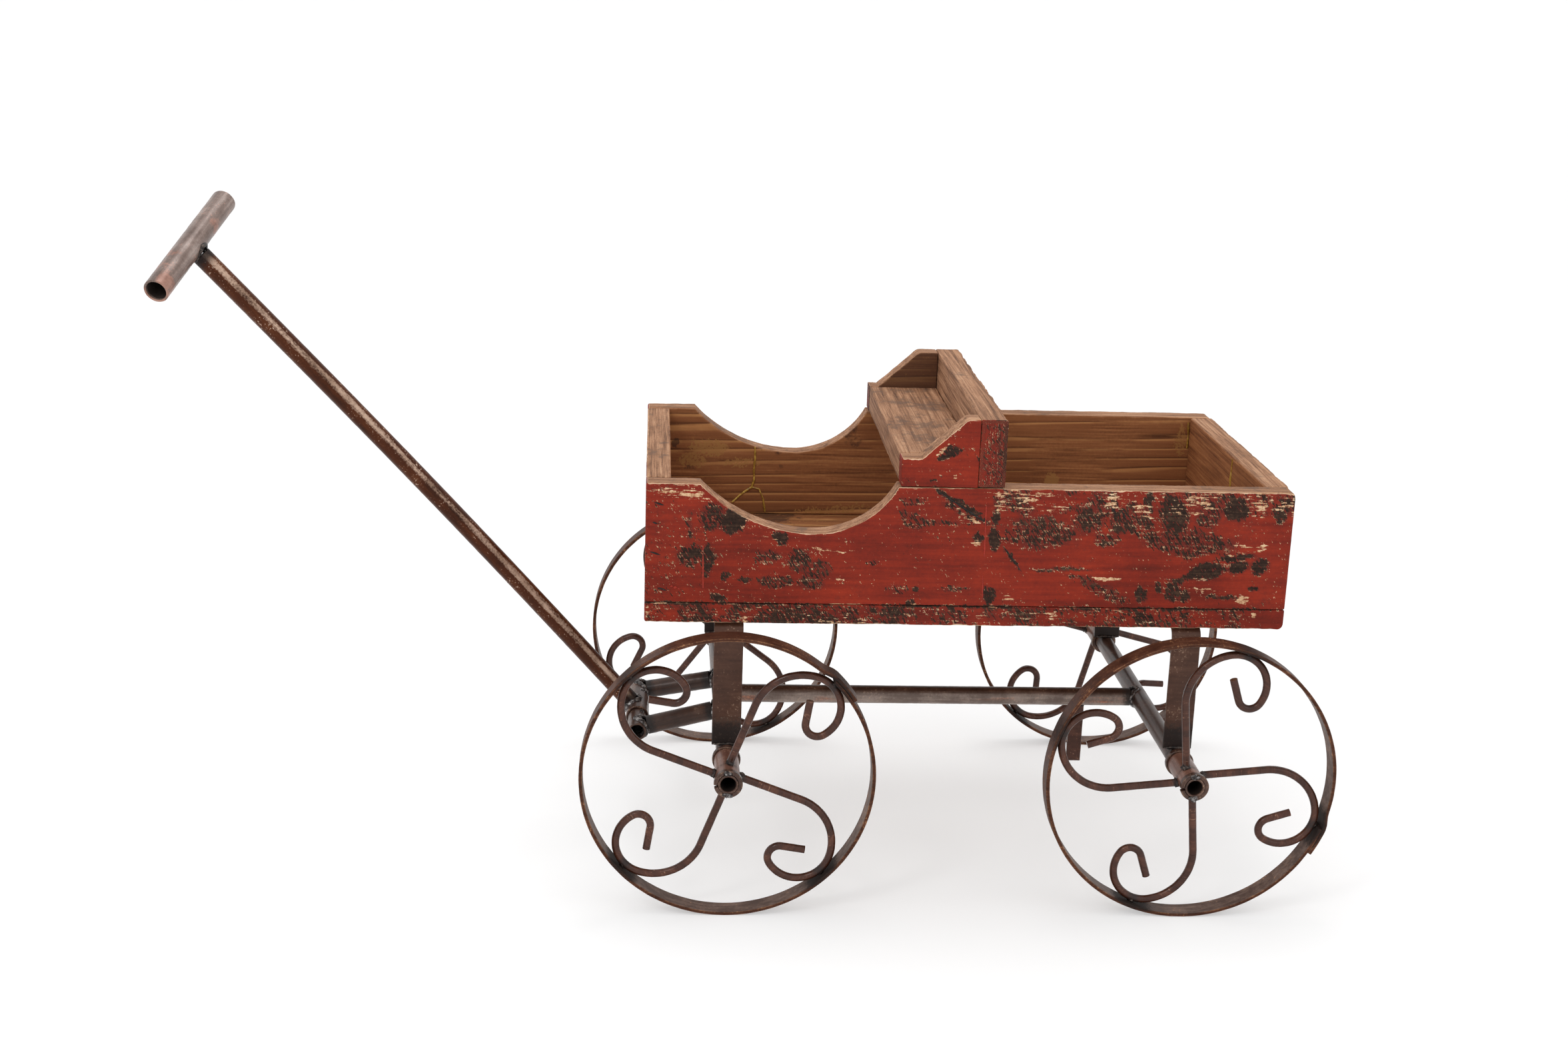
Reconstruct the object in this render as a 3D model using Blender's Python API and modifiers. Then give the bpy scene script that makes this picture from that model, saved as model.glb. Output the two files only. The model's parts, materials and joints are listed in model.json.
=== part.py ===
"""Small pull wagon: a wooden buckboard box with a bench seat, on a welded steel running gear
with four scroll-spoked wheels and a T-handle that swings on a cross tube.

Frame: +X forward (towards the handle), +Y to the wagon's left, +Z up.  The origin is on the
ground, under the middle of the whole wagon.  Lengths are in metres.
"""
from math import atan2, cos, pi, radians, sin, sqrt, tan

import bmesh
import bpy
from mathutils import Vector

# ---- driving dimensions ---------------------------------------------------------------------
GAP = 0.0003                 # left between pieces that touch or are welded

BOX_LENGTH = 0.533
BOX_WIDTH = 0.297
BOARD = 0.0205               # thickness of the side, front and rear boards and of the arms
FLOOR = 0.017                # thickness of the bottom board
WALL_HEIGHT = 0.101          # side boards above the bottom board
BOARD_EDGE = 0.0008          # broken edge of every board

SCOOP_START = 0.044          # from the front of the box, along the top of a side board
SCOOP_LOW = 0.137
SCOOP_END = 0.205
SCOOP_DEPTH = 0.0405

SEAT_FRONT = 0.2065          # from the front of the box
SEAT_DEPTH = 0.063
SEAT_THICKNESS = 0.024
BACK_THICKNESS = 0.022
BACK_HEIGHT = 0.057          # above the side boards
ARM_FLAT = {"left": 0.0165, "right": 0.0080}        # level part of an arm's top, at its front
ARM_SLOPE_END = {"left": 0.0525, "right": 0.0450}   # where the slope meets the upper level
ARM_SHOULDER = 0.006         # radius of that corner

WHEEL_RADIUS = 0.121
WHEEL_BASE = 0.3825
RIM_THICKNESS = 0.003
RIM_WIDTH = 0.018
RIM_MIDDLE_Y = 0.193         # from the wagon's middle plane to the middle of a rim
AXLE_BELOW_BOX = 0.116
AXLE_BEHIND_BOX_FRONT = 0.070

TUBE_RADIUS = 0.0081         # axles, spine, fork, cross tube and handle
TUBE_WALL = 0.0017
SLEEVE_RADIUS = 0.01025      # hubs, the handle's sleeve and its grip
SLEEVE_BORE = 0.00842
RING_RADIUS = 0.0118
HUB_INNER_Y = 0.1606
HUB_OUTER_Y = 0.2070
RING_WIDTH = 0.0050
AXLE_HALF_LENGTH = 0.2132

SCROLL_RADIUS = 0.0032       # the round bar of a wheel scroll
SCROLL_STEM = 0.0540         # straight part, from the hub outwards
SCROLL_ARCS = ((0.0412, 86.0), (0.0273, 133.0), (0.0099, 129.0))   # radius, turn in degrees
SCROLL_TAIL = 0.0195         # straight end of the hook
SCROLL_START_OFFSET = 0.0020
SCROLL_START_TURN = 2.0      # degrees
SCROLLS_PER_WHEEL = 4
WHEEL_PHASE = {"front_left": 71.0, "rear_left": 7.5, "front_right": 55.0, "rear_right": 77.5}

BAR_WIDTH = 0.0242           # flat bar of the axle brackets
BAR_THICKNESS = 0.0030
BRACKET_HALF_SPAN = 0.147    # outer face of a leg
BRACKET_BEND = 0.007         # inner radius of the bends at the top
SCREW_Y = 0.090
SCREW_SHANK_RADIUS = 0.0022
SCREW_HOLE_RADIUS = 0.0026
SCREW_HEAD_RADIUS = 0.0050
SCREW_HEAD_HEIGHT = 0.0022
SCREW_GRIP_LENGTH = 0.012    # shank inside the bottom board

TAB_AHEAD_OF_REAR_AXLE = 0.0565
TAB_SIZE = (0.013, 0.003, 0.054)

PIVOT_AHEAD = 0.075          # cross tube ahead of the front axle
PIVOT_DROP = 0.016
PIVOT_HALF_LENGTH = 0.058
FORK_REAR_Y = 0.039          # fork arms at the front axle and at the cross tube
FORK_FRONT_Y = 0.0465
SLEEVE_HALF_LENGTH = 0.0205

HANDLE_LENGTH = 0.5604       # cross tube to grip, axis to axis
HANDLE_RISE = 48.4           # degrees above level
HANDLE_LEAN = 8.0            # degrees towards the left
GRIP_LENGTH = 0.140
GRIP_ROLL = -31.5            # degrees about the handle
GRIP_TILT = 4.2              # degrees out of square with the handle

# ---- places worked out from them ------------------------------------------------------------
AXLE_Z = WHEEL_RADIUS
BOX_BOTTOM = AXLE_Z + AXLE_BELOW_BOX
WALL_BOTTOM = BOX_BOTTOM + FLOOR + GAP
WALL_TOP = BOX_BOTTOM + FLOOR + WALL_HEIGHT
HALF_WIDTH = BOX_WIDTH / 2
INNER_HALF_WIDTH = HALF_WIDTH - BOARD - GAP

COLLECTION = "pull_wagon"
CUTTERS = "cutters"


def handle_directions():
    """Unit vectors along the handle, up it, and along the grip, to the left."""
    rise, lean = radians(HANDLE_RISE), radians(HANDLE_LEAN)
    roll, tilt = radians(GRIP_ROLL), radians(GRIP_TILT)
    along = Vector((cos(rise) * cos(lean), cos(rise) * sin(lean), sin(rise)))
    level = Vector((-sin(lean), cos(lean), 0.0))
    square = cos(roll) * level + sin(roll) * along.cross(level)
    return along, (cos(tilt) * square - sin(tilt) * along).normalized()


def reach_ahead_of_front_axle():
    """X distance from the front axle to the foremost point of the grip."""
    along, grip = handle_directions()
    end = GRIP_LENGTH / 2 * abs(grip.x) + SLEEVE_RADIUS * sqrt(1 - grip.x ** 2)
    return PIVOT_AHEAD + HANDLE_LENGTH * along.x + end


TOTAL_LENGTH = WHEEL_RADIUS + WHEEL_BASE + reach_ahead_of_front_axle()
REAR_AXLE_X = WHEEL_RADIUS - TOTAL_LENGTH / 2
FRONT_AXLE_X = REAR_AXLE_X + WHEEL_BASE
BOX_FRONT = FRONT_AXLE_X + AXLE_BEHIND_BOX_FRONT
BOX_REAR = BOX_FRONT - BOX_LENGTH
PIVOT = Vector((FRONT_AXLE_X + PIVOT_AHEAD, 0.0, AXLE_Z - PIVOT_DROP))


# ---- scene, collections and materials -------------------------------------------------------
def clear_scene():
    for obj in list(bpy.data.objects):
        bpy.data.objects.remove(obj, do_unlink=True)


def collection(name):
    found = bpy.data.collections.get(name) or bpy.data.collections.new(name)
    if name not in bpy.context.scene.collection.children:
        bpy.context.scene.collection.children.link(found)
    return found


def material(name, color, roughness, metallic):
    mat = bpy.data.materials.get(name) or bpy.data.materials.new(name)
    mat.use_nodes = True
    shader = mat.node_tree.nodes["Principled BSDF"]
    shader.inputs["Base Color"].default_value = (*color, 1.0)
    shader.inputs["Roughness"].default_value = roughness
    shader.inputs["Metallic"].default_value = metallic
    return mat


def red_paint():
    return material("red_paint", (0.28, 0.022, 0.013), 0.6, 0.0)


def bare_wood():
    return material("bare_wood", (0.24, 0.12, 0.055), 0.7, 0.0)


def brown_steel():
    return material("brown_steel", (0.075, 0.040, 0.030), 0.42, 0.6)


def screw_steel():
    return material("screw_steel", (0.35, 0.34, 0.33), 0.35, 1.0)


def add_object(name, data, mat, parent=None, where=COLLECTION):
    obj = bpy.data.objects.new(name, data)
    collection(where).objects.link(obj)
    if mat is not None:
        data.materials.append(mat)
    if parent is not None:
        obj.parent = parent
    return obj


def axis_empty(name, location):
    """An empty on a joint's axis, for the pieces that turn about it."""
    empty = bpy.data.objects.new(name, None)
    empty.empty_display_size = 0.03
    empty.location = location
    collection(COLLECTION).objects.link(empty)
    return empty


# ---- shapes ---------------------------------------------------------------------------------
def board(name, low, high, mat):
    """A sawn board with broken edges, between two corners."""
    low, high = Vector(low), Vector(high)
    mesh = bpy.data.meshes.new(name)
    bm = bmesh.new()
    bmesh.ops.create_cube(bm, size=1.0)
    bmesh.ops.scale(bm, vec=high - low, verts=bm.verts)
    bm.to_mesh(mesh)
    bm.free()
    obj = add_object(name, mesh, mat)
    obj.location = (low + high) / 2
    break_edges(obj)
    return obj


def break_edges(obj):
    bevel = obj.modifiers.new("broken_edges", "BEVEL")
    bevel.width = BOARD_EDGE
    bevel.segments = 1


def arc_points(centre, radius, start, end, steps):
    """Points on an arc in a plane, from one angle to another, in degrees."""
    turns = [radians(start + (end - start) * i / steps) for i in range(steps + 1)]
    return [(centre[0] + radius * cos(t), centre[1] + radius * sin(t)) for t in turns]


def upright_plate(name, outline, middle_y, thickness, mat):
    """A flat plate that stands along X, cut to an outline of (x, z) points."""
    curve = bpy.data.curves.new(name, "CURVE")
    curve.dimensions = "2D"
    curve.fill_mode = "BOTH"
    curve.extrude = thickness / 2
    spline = curve.splines.new("POLY")
    spline.points.add(len(outline) - 1)
    for point, (x, z) in zip(spline.points, outline):
        point.co = (x, z, 0.0, 1.0)
    spline.use_cyclic_u = True
    obj = add_object(name, curve, mat)
    obj.location = (0.0, middle_y, 0.0)
    obj.rotation_euler = (pi / 2, 0.0, 0.0)
    return obj


def turned(name, profile, steps, mat, closed, parent=None, where=COLLECTION):
    """A turned piece about its own Z: the profile's (radius, z) points run down its outside."""
    mesh = bpy.data.meshes.new(name)
    last = len(profile) if closed else len(profile) - 1
    edges = [(i, (i + 1) % len(profile)) for i in range(last)]
    mesh.from_pydata([(r, 0.0, z) for r, z in profile], edges, [])
    obj = add_object(name, mesh, mat, parent, where)
    screw = obj.modifiers.new("turn", "SCREW")
    screw.angle = 2 * pi
    screw.steps = steps
    screw.render_steps = steps
    screw.use_merge_vertices = True
    screw.merge_threshold = 0.00001
    screw.use_smooth_shade = True
    return obj


def point_along(obj, direction):
    """Turns a piece so that its own Z runs along a direction."""
    obj.rotation_mode = "QUATERNION"
    obj.rotation_quaternion = Vector(direction).to_track_quat("Z", "Y")


def ring_piece(name, middle, axis, length, outer, inner, steps, mat, parent=None):
    """A tube, sleeve, ring or rim: hollow, open at both ends, centred on a point."""
    half = length / 2
    profile = [(outer, half), (outer, -half), (inner, -half), (inner, half)]
    obj = turned(name, profile, steps, mat, True, parent)
    obj.location = middle
    point_along(obj, axis)
    return obj


def tube_between(name, start, end, trim_start, trim_end, parent=None):
    """A length of tube on the line between two points, cut short of each by its trim."""
    start, end = Vector(start), Vector(end)
    run = (end - start).normalized()
    first, last = start + run * trim_start, end - run * trim_end
    return ring_piece(name, (first + last) / 2, run, (last - first).length, TUBE_RADIUS,
                      TUBE_RADIUS - TUBE_WALL, 20, brown_steel(), parent)


def butt_trim(radius, off_square):
    """How far short of a round tube's axis a square-cut end stops, at an angle to it."""
    return radius + GAP + TUBE_RADIUS * tan(abs(off_square))


def hole_cutter(name, x, y, low, high, radius):
    cutter = turned(name, [(0.0, high), (radius, high), (radius, low), (0.0, low)], 16, None,
                    False, where=CUTTERS)
    cutter.location = (x, y, 0.0)
    cutter.hide_render = True
    cutter.display_type = "WIRE"
    return cutter


def cut_hole(obj, cutter):
    cut = obj.modifiers.new("hole_" + cutter.name, "BOOLEAN")
    cut.operation = "DIFFERENCE"
    cut.solver = "EXACT"
    cut.object = cutter


# ---- the box and the seat -------------------------------------------------------------------
def scooped_outline():
    """A side board: level at the front, scooped down ahead of the seat, level to the rear."""
    front_run, rear_run = SCOOP_LOW - SCOOP_START, SCOOP_END - SCOOP_LOW
    front_radius = (front_run ** 2 + SCOOP_DEPTH ** 2) / (2 * SCOOP_DEPTH)
    rear_radius = (rear_run ** 2 + SCOOP_DEPTH ** 2) / (2 * SCOOP_DEPTH)
    low_x, low_z = BOX_FRONT - SCOOP_LOW, WALL_TOP - SCOOP_DEPTH
    front_angle = 90 - atan2(front_run, front_radius - SCOOP_DEPTH) * 180 / pi
    rear_angle = 90 + atan2(rear_run, rear_radius - SCOOP_DEPTH) * 180 / pi
    front_arc = arc_points((low_x, low_z + front_radius), front_radius, -front_angle, -90, 10)
    rear_arc = arc_points((low_x, low_z + rear_radius), rear_radius, -90, -rear_angle, 10)
    corners_front = [(BOX_FRONT, WALL_BOTTOM), (BOX_FRONT, WALL_TOP)]
    corners_rear = [(BOX_REAR, WALL_TOP), (BOX_REAR, WALL_BOTTOM)]
    return corners_front + front_arc + rear_arc[1:] + corners_rear


def arm_outline(flat, slope_end):
    """A seat arm: low at the front, then a slope and a round shoulder up to the back's top."""
    front = BOX_FRONT - SEAT_FRONT
    bottom = WALL_TOP + GAP
    low, top = WALL_TOP + SEAT_THICKNESS, WALL_TOP + BACK_HEIGHT
    slope = atan2(top - low, slope_end - flat)
    setback = ARM_SHOULDER * tan(slope / 2)
    turn = slope * 180 / pi
    shoulder = arc_points((front - slope_end - setback, top - ARM_SHOULDER), ARM_SHOULDER,
                          90 - turn, 90, 4)
    rear = front - SEAT_DEPTH + GAP
    return [(front, bottom), (front, low), (front - flat, low)] + shoulder + [
        (rear, top), (rear, bottom)]


def build_box():
    """Bottom, two scooped sides that run full length, and the ends set between them."""
    bottom = board("bottom_board", (BOX_REAR, -HALF_WIDTH, BOX_BOTTOM),
                   (BOX_FRONT, HALF_WIDTH, BOX_BOTTOM + FLOOR), red_paint())
    for side, sign in (("left", 1), ("right", -1)):
        middle = sign * (HALF_WIDTH - BOARD / 2)
        upright_plate("side_board_" + side, scooped_outline(), middle, BOARD, red_paint())
    board("front_board", (BOX_FRONT - BOARD, -INNER_HALF_WIDTH, WALL_BOTTOM),
          (BOX_FRONT, INNER_HALF_WIDTH, WALL_TOP), red_paint())
    board("rear_board", (BOX_REAR, -INNER_HALF_WIDTH, WALL_BOTTOM),
          (BOX_REAR + BOARD, INNER_HALF_WIDTH, WALL_TOP), red_paint())
    return bottom


def build_seat():
    """Seat board between two arms, against a back that spans both side boards."""
    front, base = BOX_FRONT - SEAT_FRONT, WALL_TOP + GAP
    board("seat_board", (front - SEAT_DEPTH + GAP, -INNER_HALF_WIDTH, base),
          (front, INNER_HALF_WIDTH, WALL_TOP + SEAT_THICKNESS), bare_wood())
    board("seat_back", (front - SEAT_DEPTH - BACK_THICKNESS, -HALF_WIDTH, base),
          (front - SEAT_DEPTH, HALF_WIDTH, WALL_TOP + BACK_HEIGHT), bare_wood())
    for side, sign in (("left", 1), ("right", -1)):
        middle = sign * (HALF_WIDTH - BOARD / 2)
        outline = arm_outline(ARM_FLAT[side], ARM_SLOPE_END[side])
        upright_plate("seat_arm_" + side, outline, middle, BOARD, red_paint())


# ---- running gear ---------------------------------------------------------------------------
def bracket(name, axle_x):
    """An upside-down U of flat bar: its legs stand on the axle, its top is under the box."""
    leg_y = BRACKET_HALF_SPAN - BAR_THICKNESS
    top, foot = BOX_BOTTOM - GAP - BAR_THICKNESS, AXLE_Z + TUBE_RADIUS + GAP
    bend_y, bend_z = leg_y - BRACKET_BEND, top - BRACKET_BEND
    right = arc_points((-bend_y, bend_z), BRACKET_BEND, 180, 90, 4)
    left = arc_points((bend_y, bend_z), BRACKET_BEND, 90, 0, 4)
    path = [(-leg_y, foot)] + right + left + [(leg_y, foot)]
    mesh = bpy.data.meshes.new(name)
    bm = bmesh.new()
    verts = [bm.verts.new((-BAR_WIDTH / 2, y, z)) for y, z in path]
    edges = [bm.edges.new(pair) for pair in zip(verts, verts[1:])]
    swept = bmesh.ops.extrude_edge_only(bm, edges=edges)["geom"]
    moved = [part for part in swept if isinstance(part, bmesh.types.BMVert)]
    bmesh.ops.translate(bm, vec=(BAR_WIDTH, 0.0, 0.0), verts=moved)
    bmesh.ops.recalc_face_normals(bm, faces=bm.faces)
    if sum(face.normal.z for face in bm.faces) < 0:
        bmesh.ops.reverse_faces(bm, faces=bm.faces)
    bm.to_mesh(mesh)
    bm.free()
    obj = add_object(name, mesh, brown_steel())
    obj.location = (axle_x, 0.0, 0.0)
    solid = obj.modifiers.new("bar_thickness", "SOLIDIFY")
    solid.thickness = BAR_THICKNESS
    solid.offset = 1.0
    return obj


def bracket_screw(name, x, y):
    """A round-headed wood screw, up through the bracket into the bottom board."""
    seat = BOX_BOTTOM - GAP - BAR_THICKNESS - GAP
    tip = BOX_BOTTOM + SCREW_GRIP_LENGTH
    shank, head = SCREW_SHANK_RADIUS, SCREW_HEAD_RADIUS
    profile = [(0.0, tip), (shank, tip - 0.003), (shank, seat), (head, seat),
               (head * 0.8, seat - SCREW_HEAD_HEIGHT * 0.7), (0.0, seat - SCREW_HEAD_HEIGHT)]
    obj = turned(name, profile, 12, screw_steel(), False)
    obj.location = (x, y, 0.0)
    return obj


def build_brackets(bottom):
    """Both brackets and their screws, with holes for them in the bars and the bottom board."""
    for end, axle_x in (("front", FRONT_AXLE_X), ("rear", REAR_AXLE_X)):
        bar = bracket(end + "_bracket", axle_x)
        for side, sign in (("left", 1), ("right", -1)):
            label = end + "_" + side
            y = sign * SCREW_Y
            low = BOX_BOTTOM - 2 * BAR_THICKNESS
            high = BOX_BOTTOM + SCREW_GRIP_LENGTH + GAP
            cutter = hole_cutter(label + "_hole", axle_x, y, low, high, SCREW_HOLE_RADIUS)
            cut_hole(bar, cutter)
            cut_hole(bottom, cutter)
            bracket_screw(label + "_screw", axle_x, y)


def build_axles_and_spine():
    """Axle tubes, the spine tube between them, and the tab that hangs from the spine."""
    inner = TUBE_RADIUS - TUBE_WALL
    for end, axle_x in (("front", FRONT_AXLE_X), ("rear", REAR_AXLE_X)):
        ring_piece(end + "_axle", (axle_x, 0.0, AXLE_Z), (0, 1, 0), 2 * AXLE_HALF_LENGTH,
                   TUBE_RADIUS, inner, 24, brown_steel())
    trim = butt_trim(TUBE_RADIUS, 0.0)
    tube_between("spine_tube", (FRONT_AXLE_X, 0, AXLE_Z), (REAR_AXLE_X, 0, AXLE_Z), trim, trim)
    length, thickness, drop = TAB_SIZE
    top = AXLE_Z - TUBE_RADIUS - GAP
    middle_x = REAR_AXLE_X + TAB_AHEAD_OF_REAR_AXLE
    board("spine_tab", (middle_x - length / 2, -thickness / 2, top - drop),
          (middle_x + length / 2, thickness / 2, top), brown_steel())


def build_fork():
    """Two arms from the front axle, and the cross tube at their ends that the handle turns on."""
    splay = atan2(FORK_FRONT_Y - FORK_REAR_Y, PIVOT_AHEAD)
    trim = butt_trim(TUBE_RADIUS, splay)
    for side, sign in (("left", 1), ("right", -1)):
        tube_between("fork_arm_" + side, (FRONT_AXLE_X, sign * FORK_REAR_Y, AXLE_Z),
                     (PIVOT.x, sign * FORK_FRONT_Y, PIVOT.z), trim, trim)
    ring_piece("cross_tube", PIVOT, (0, 1, 0), 2 * PIVOT_HALF_LENGTH, TUBE_RADIUS,
               TUBE_RADIUS - TUBE_WALL, 24, brown_steel())


# ---- handle ---------------------------------------------------------------------------------
def build_handle():
    """Sleeve on the cross tube, the long handle tube, and the T-grip across its end."""
    pivot = axis_empty("handle_axis", PIVOT)
    along, grip = handle_directions()
    sleeve_trim = butt_trim(SLEEVE_RADIUS, radians(HANDLE_LEAN))
    grip_trim = butt_trim(SLEEVE_RADIUS, radians(GRIP_TILT))
    steel = brown_steel()
    ring_piece("handle_sleeve", (0, 0, 0), (0, 1, 0), 2 * SLEEVE_HALF_LENGTH, SLEEVE_RADIUS,
               SLEEVE_BORE, 24, steel, pivot)
    tube_between("handle_tube", (0, 0, 0), along * HANDLE_LENGTH, sleeve_trim, grip_trim, pivot)
    ring_piece("grip_tube", along * HANDLE_LENGTH, grip, GRIP_LENGTH, SLEEVE_RADIUS,
               SLEEVE_BORE, 24, steel, pivot)


# ---- wheels ---------------------------------------------------------------------------------
def scroll_path():
    """Points of one scroll, (outwards, sideways): a stem, three tightening arcs and a tail."""
    x, y = SLEEVE_RADIUS + GAP, SCROLL_START_OFFSET
    heading = -radians(SCROLL_START_TURN)
    points = [(x, y)]
    x, y = x + SCROLL_STEM * cos(heading), y + SCROLL_STEM * sin(heading)
    points.append((x, y))
    for radius, turn in SCROLL_ARCS:
        steps = round(turn / 19)
        centre = (x + radius * sin(heading), y - radius * cos(heading))
        for i in range(1, steps + 1):
            angle = heading - radians(turn) * i / steps
            points.append((centre[0] - radius * sin(angle), centre[1] + radius * cos(angle)))
        x, y = points[-1]
        heading -= radians(turn)
    points.append((x + SCROLL_TAIL * cos(heading), y + SCROLL_TAIL * sin(heading)))
    return points


def scroll(name, angle, parent):
    """One scroll of round bar in the wheel's plane; its stem leaves the hub at an angle."""
    curve = bpy.data.curves.new(name, "CURVE")
    curve.dimensions = "3D"
    curve.bevel_depth = SCROLL_RADIUS
    curve.bevel_resolution = 2
    curve.use_fill_caps = True
    spline = curve.splines.new("POLY")
    path = scroll_path()
    spline.points.add(len(path) - 1)
    for point, (out, aside) in zip(spline.points, path):
        across = out * cos(angle) - aside * sin(angle)
        up = out * sin(angle) + aside * cos(angle)
        point.co = (-across, 0.0, up, 1.0)
    return add_object(name, curve, brown_steel(), parent)


def build_wheel(label, axle_x, sign):
    """Rim, hub and scrolls on an empty at the hub's middle, and the rings that keep them on."""
    steel = brown_steel()
    centre = Vector((axle_x, sign * RIM_MIDDLE_Y, AXLE_Z))
    axis = axis_empty(label + "_wheel_axis", centre)
    ring_piece(label + "_rim", (0, 0, 0), (0, 1, 0), RIM_WIDTH, WHEEL_RADIUS,
               WHEEL_RADIUS - RIM_THICKNESS, 64, steel, axis)
    hub_middle = sign * (HUB_INNER_Y + HUB_OUTER_Y) / 2
    ring_piece(label + "_hub", (0, hub_middle - centre.y, 0), (0, 1, 0),
               HUB_OUTER_Y - HUB_INNER_Y, SLEEVE_RADIUS, SLEEVE_BORE, 24, steel, axis)
    for i in range(SCROLLS_PER_WHEEL):
        angle = radians(WHEEL_PHASE[label]) + i * 2 * pi / SCROLLS_PER_WHEEL
        scroll("%s_scroll_%d" % (label, i + 1), angle, axis)
    offset = GAP + RING_WIDTH / 2
    for place, y in (("inner", HUB_INNER_Y - offset), ("outer", HUB_OUTER_Y + offset)):
        ring_piece("%s_%s_ring" % (label, place), (axle_x, sign * y, AXLE_Z), (0, 1, 0),
                   RING_WIDTH, RING_RADIUS, SLEEVE_BORE, 20, steel)


def build_wheels():
    for end, axle_x in (("front", FRONT_AXLE_X), ("rear", REAR_AXLE_X)):
        for side, sign in (("left", 1), ("right", -1)):
            build_wheel(end + "_" + side, axle_x, sign)


def main():
    clear_scene()
    bottom = build_box()
    build_seat()
    build_brackets(bottom)
    build_axles_and_spine()
    build_fork()
    build_handle()
    build_wheels()


main()
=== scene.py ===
"""Looks of the pull wagon: worn red boards over a bare-wood inside, and a lacquered brown steel
running gear with scroll wheels, weld beads, split rings and open tube ends.

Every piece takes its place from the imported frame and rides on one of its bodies.  Lengths are in
metres, in the frame's own axes: +X forward, +Y to the wagon's left, +Z up.
"""

import json
from math import atan2, ceil, cos, hypot, pi, radians, sin, sqrt, tau

import bpy
import numpy as np
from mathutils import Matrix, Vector, noise


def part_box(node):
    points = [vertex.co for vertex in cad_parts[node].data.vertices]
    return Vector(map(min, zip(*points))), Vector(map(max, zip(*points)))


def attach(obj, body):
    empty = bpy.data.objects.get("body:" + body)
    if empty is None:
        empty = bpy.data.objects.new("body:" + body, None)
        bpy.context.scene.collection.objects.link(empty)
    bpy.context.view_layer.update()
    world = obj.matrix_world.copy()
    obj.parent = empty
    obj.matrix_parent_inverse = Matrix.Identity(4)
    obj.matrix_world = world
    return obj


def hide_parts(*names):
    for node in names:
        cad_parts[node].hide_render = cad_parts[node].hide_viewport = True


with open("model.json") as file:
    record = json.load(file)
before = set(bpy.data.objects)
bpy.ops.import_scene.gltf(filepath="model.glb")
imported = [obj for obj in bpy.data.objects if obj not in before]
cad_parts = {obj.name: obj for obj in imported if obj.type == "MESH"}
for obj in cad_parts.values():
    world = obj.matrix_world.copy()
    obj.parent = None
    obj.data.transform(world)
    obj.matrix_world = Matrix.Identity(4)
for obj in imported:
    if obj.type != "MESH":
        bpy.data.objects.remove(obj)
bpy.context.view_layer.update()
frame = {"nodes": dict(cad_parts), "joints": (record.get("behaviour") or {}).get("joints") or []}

MM = 0.001
GAP = 0.3 * MM

# ---- places read from the frame -------------------------------------------------------------
JOINTS = {joint["name"]: joint for joint in frame["joints"]}
WHEELS = ("front_left", "front_right", "rear_left", "rear_right")
PIVOT = Vector(JOINTS["handle_pitch"]["pos_m"])
FLOOR_LOW, FLOOR_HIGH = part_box("bottom_board")
BOX_FRONT, BOX_REAR = FLOOR_HIGH.x, FLOOR_LOW.x
HALF_WIDTH = FLOOR_HIGH.y
BOX_BOTTOM, FLOOR_TOP = FLOOR_LOW.z, FLOOR_HIGH.z
WALL_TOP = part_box("side_board_left")[1].z
REAR_BOARD_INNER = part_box("rear_board")[1].x
SEAT_BACK_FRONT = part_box("seat_back")[1].x
TUBE_RADIUS = (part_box("front_axle")[1].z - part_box("front_axle")[0].z) / 2
AXLE_Z = (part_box("front_axle")[1].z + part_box("front_axle")[0].z) / 2
SLEEVE_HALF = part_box("handle_sleeve")[1].y
SLEEVE_RADIUS = (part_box("handle_sleeve")[1].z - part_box("handle_sleeve")[0].z) / 2

# ---- driving dimensions; angles are in degrees unless radians() turns them ------------------
TUBE_WALL = 1.7 * MM
BORE_RADIUS = 8.42 * MM
RIM_THICKNESS = 3.0 * MM
SCROLL_RADIUS = 3.2 * MM
SCROLL_STEM = 54.0 * MM
SCROLL_ARCS = ((41.2 * MM, 86.0), (27.3 * MM, 133.0), (9.9 * MM, 129.0))
SCROLL_TAIL = 19.5 * MM
SCROLL_START_OFFSET = 2.0 * MM
SCROLL_START_TURN = 2.0
SCROLL_STEP = 1.6 * MM
SCROLL_SINK = 0.6 * MM     # a scroll starts this much nearer the axle than its node does
SCROLLS_PER_WHEEL = 4
WHEEL_PHASE = {"front_left": 71.0, "rear_left": 7.5, "front_right": 55.0, "rear_right": 77.5}
LAP_AT = {"front_left": 45.0, "rear_left": -20.0, "front_right": 100.0, "rear_right": 140.0}
SCOOP_START, SCOOP_LOW, SCOOP_END, SCOOP_DEPTH = 44 * MM, 137 * MM, 205 * MM, 40.5 * MM
ARM_FLAT = {"left": 16.5 * MM, "right": 8.0 * MM}
ARM_SLOPE_END = {"left": 52.5 * MM, "right": 45.0 * MM}
ARM_SHOULDER = 6 * MM
HANDLE_LENGTH, HANDLE_RISE, HANDLE_LEAN = 0.5604, 48.4, 8.0
HANDLE_BOW = 3.0 * MM
GRIP_LENGTH, GRIP_ROLL, GRIP_TILT = 0.140, -31.5, 4.2
BRACKET_BEND = 7 * MM
BAR_THICKNESS = 3 * MM
BAR_ARRIS = 0.55 * MM
LEG_Y = 145.5 * MM                              # the middle of a bracket's leg
SEAT_BACK_THICKNESS = 22 * MM
ARM_FACE_DEPTH = 19 * MM                        # past this, a place is on an arm's inner side
FORK_REAR_Y, FORK_FRONT_Y = 39 * MM, 46.5 * MM
LAP_LENGTH, LAP_RAMP = radians(11), radians(7)  # a rim's ends overlap, and the upper one ramps up
RING_SPLIT_AT, RING_SPLIT = 100, 14             # degrees, of the outer rings


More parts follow.
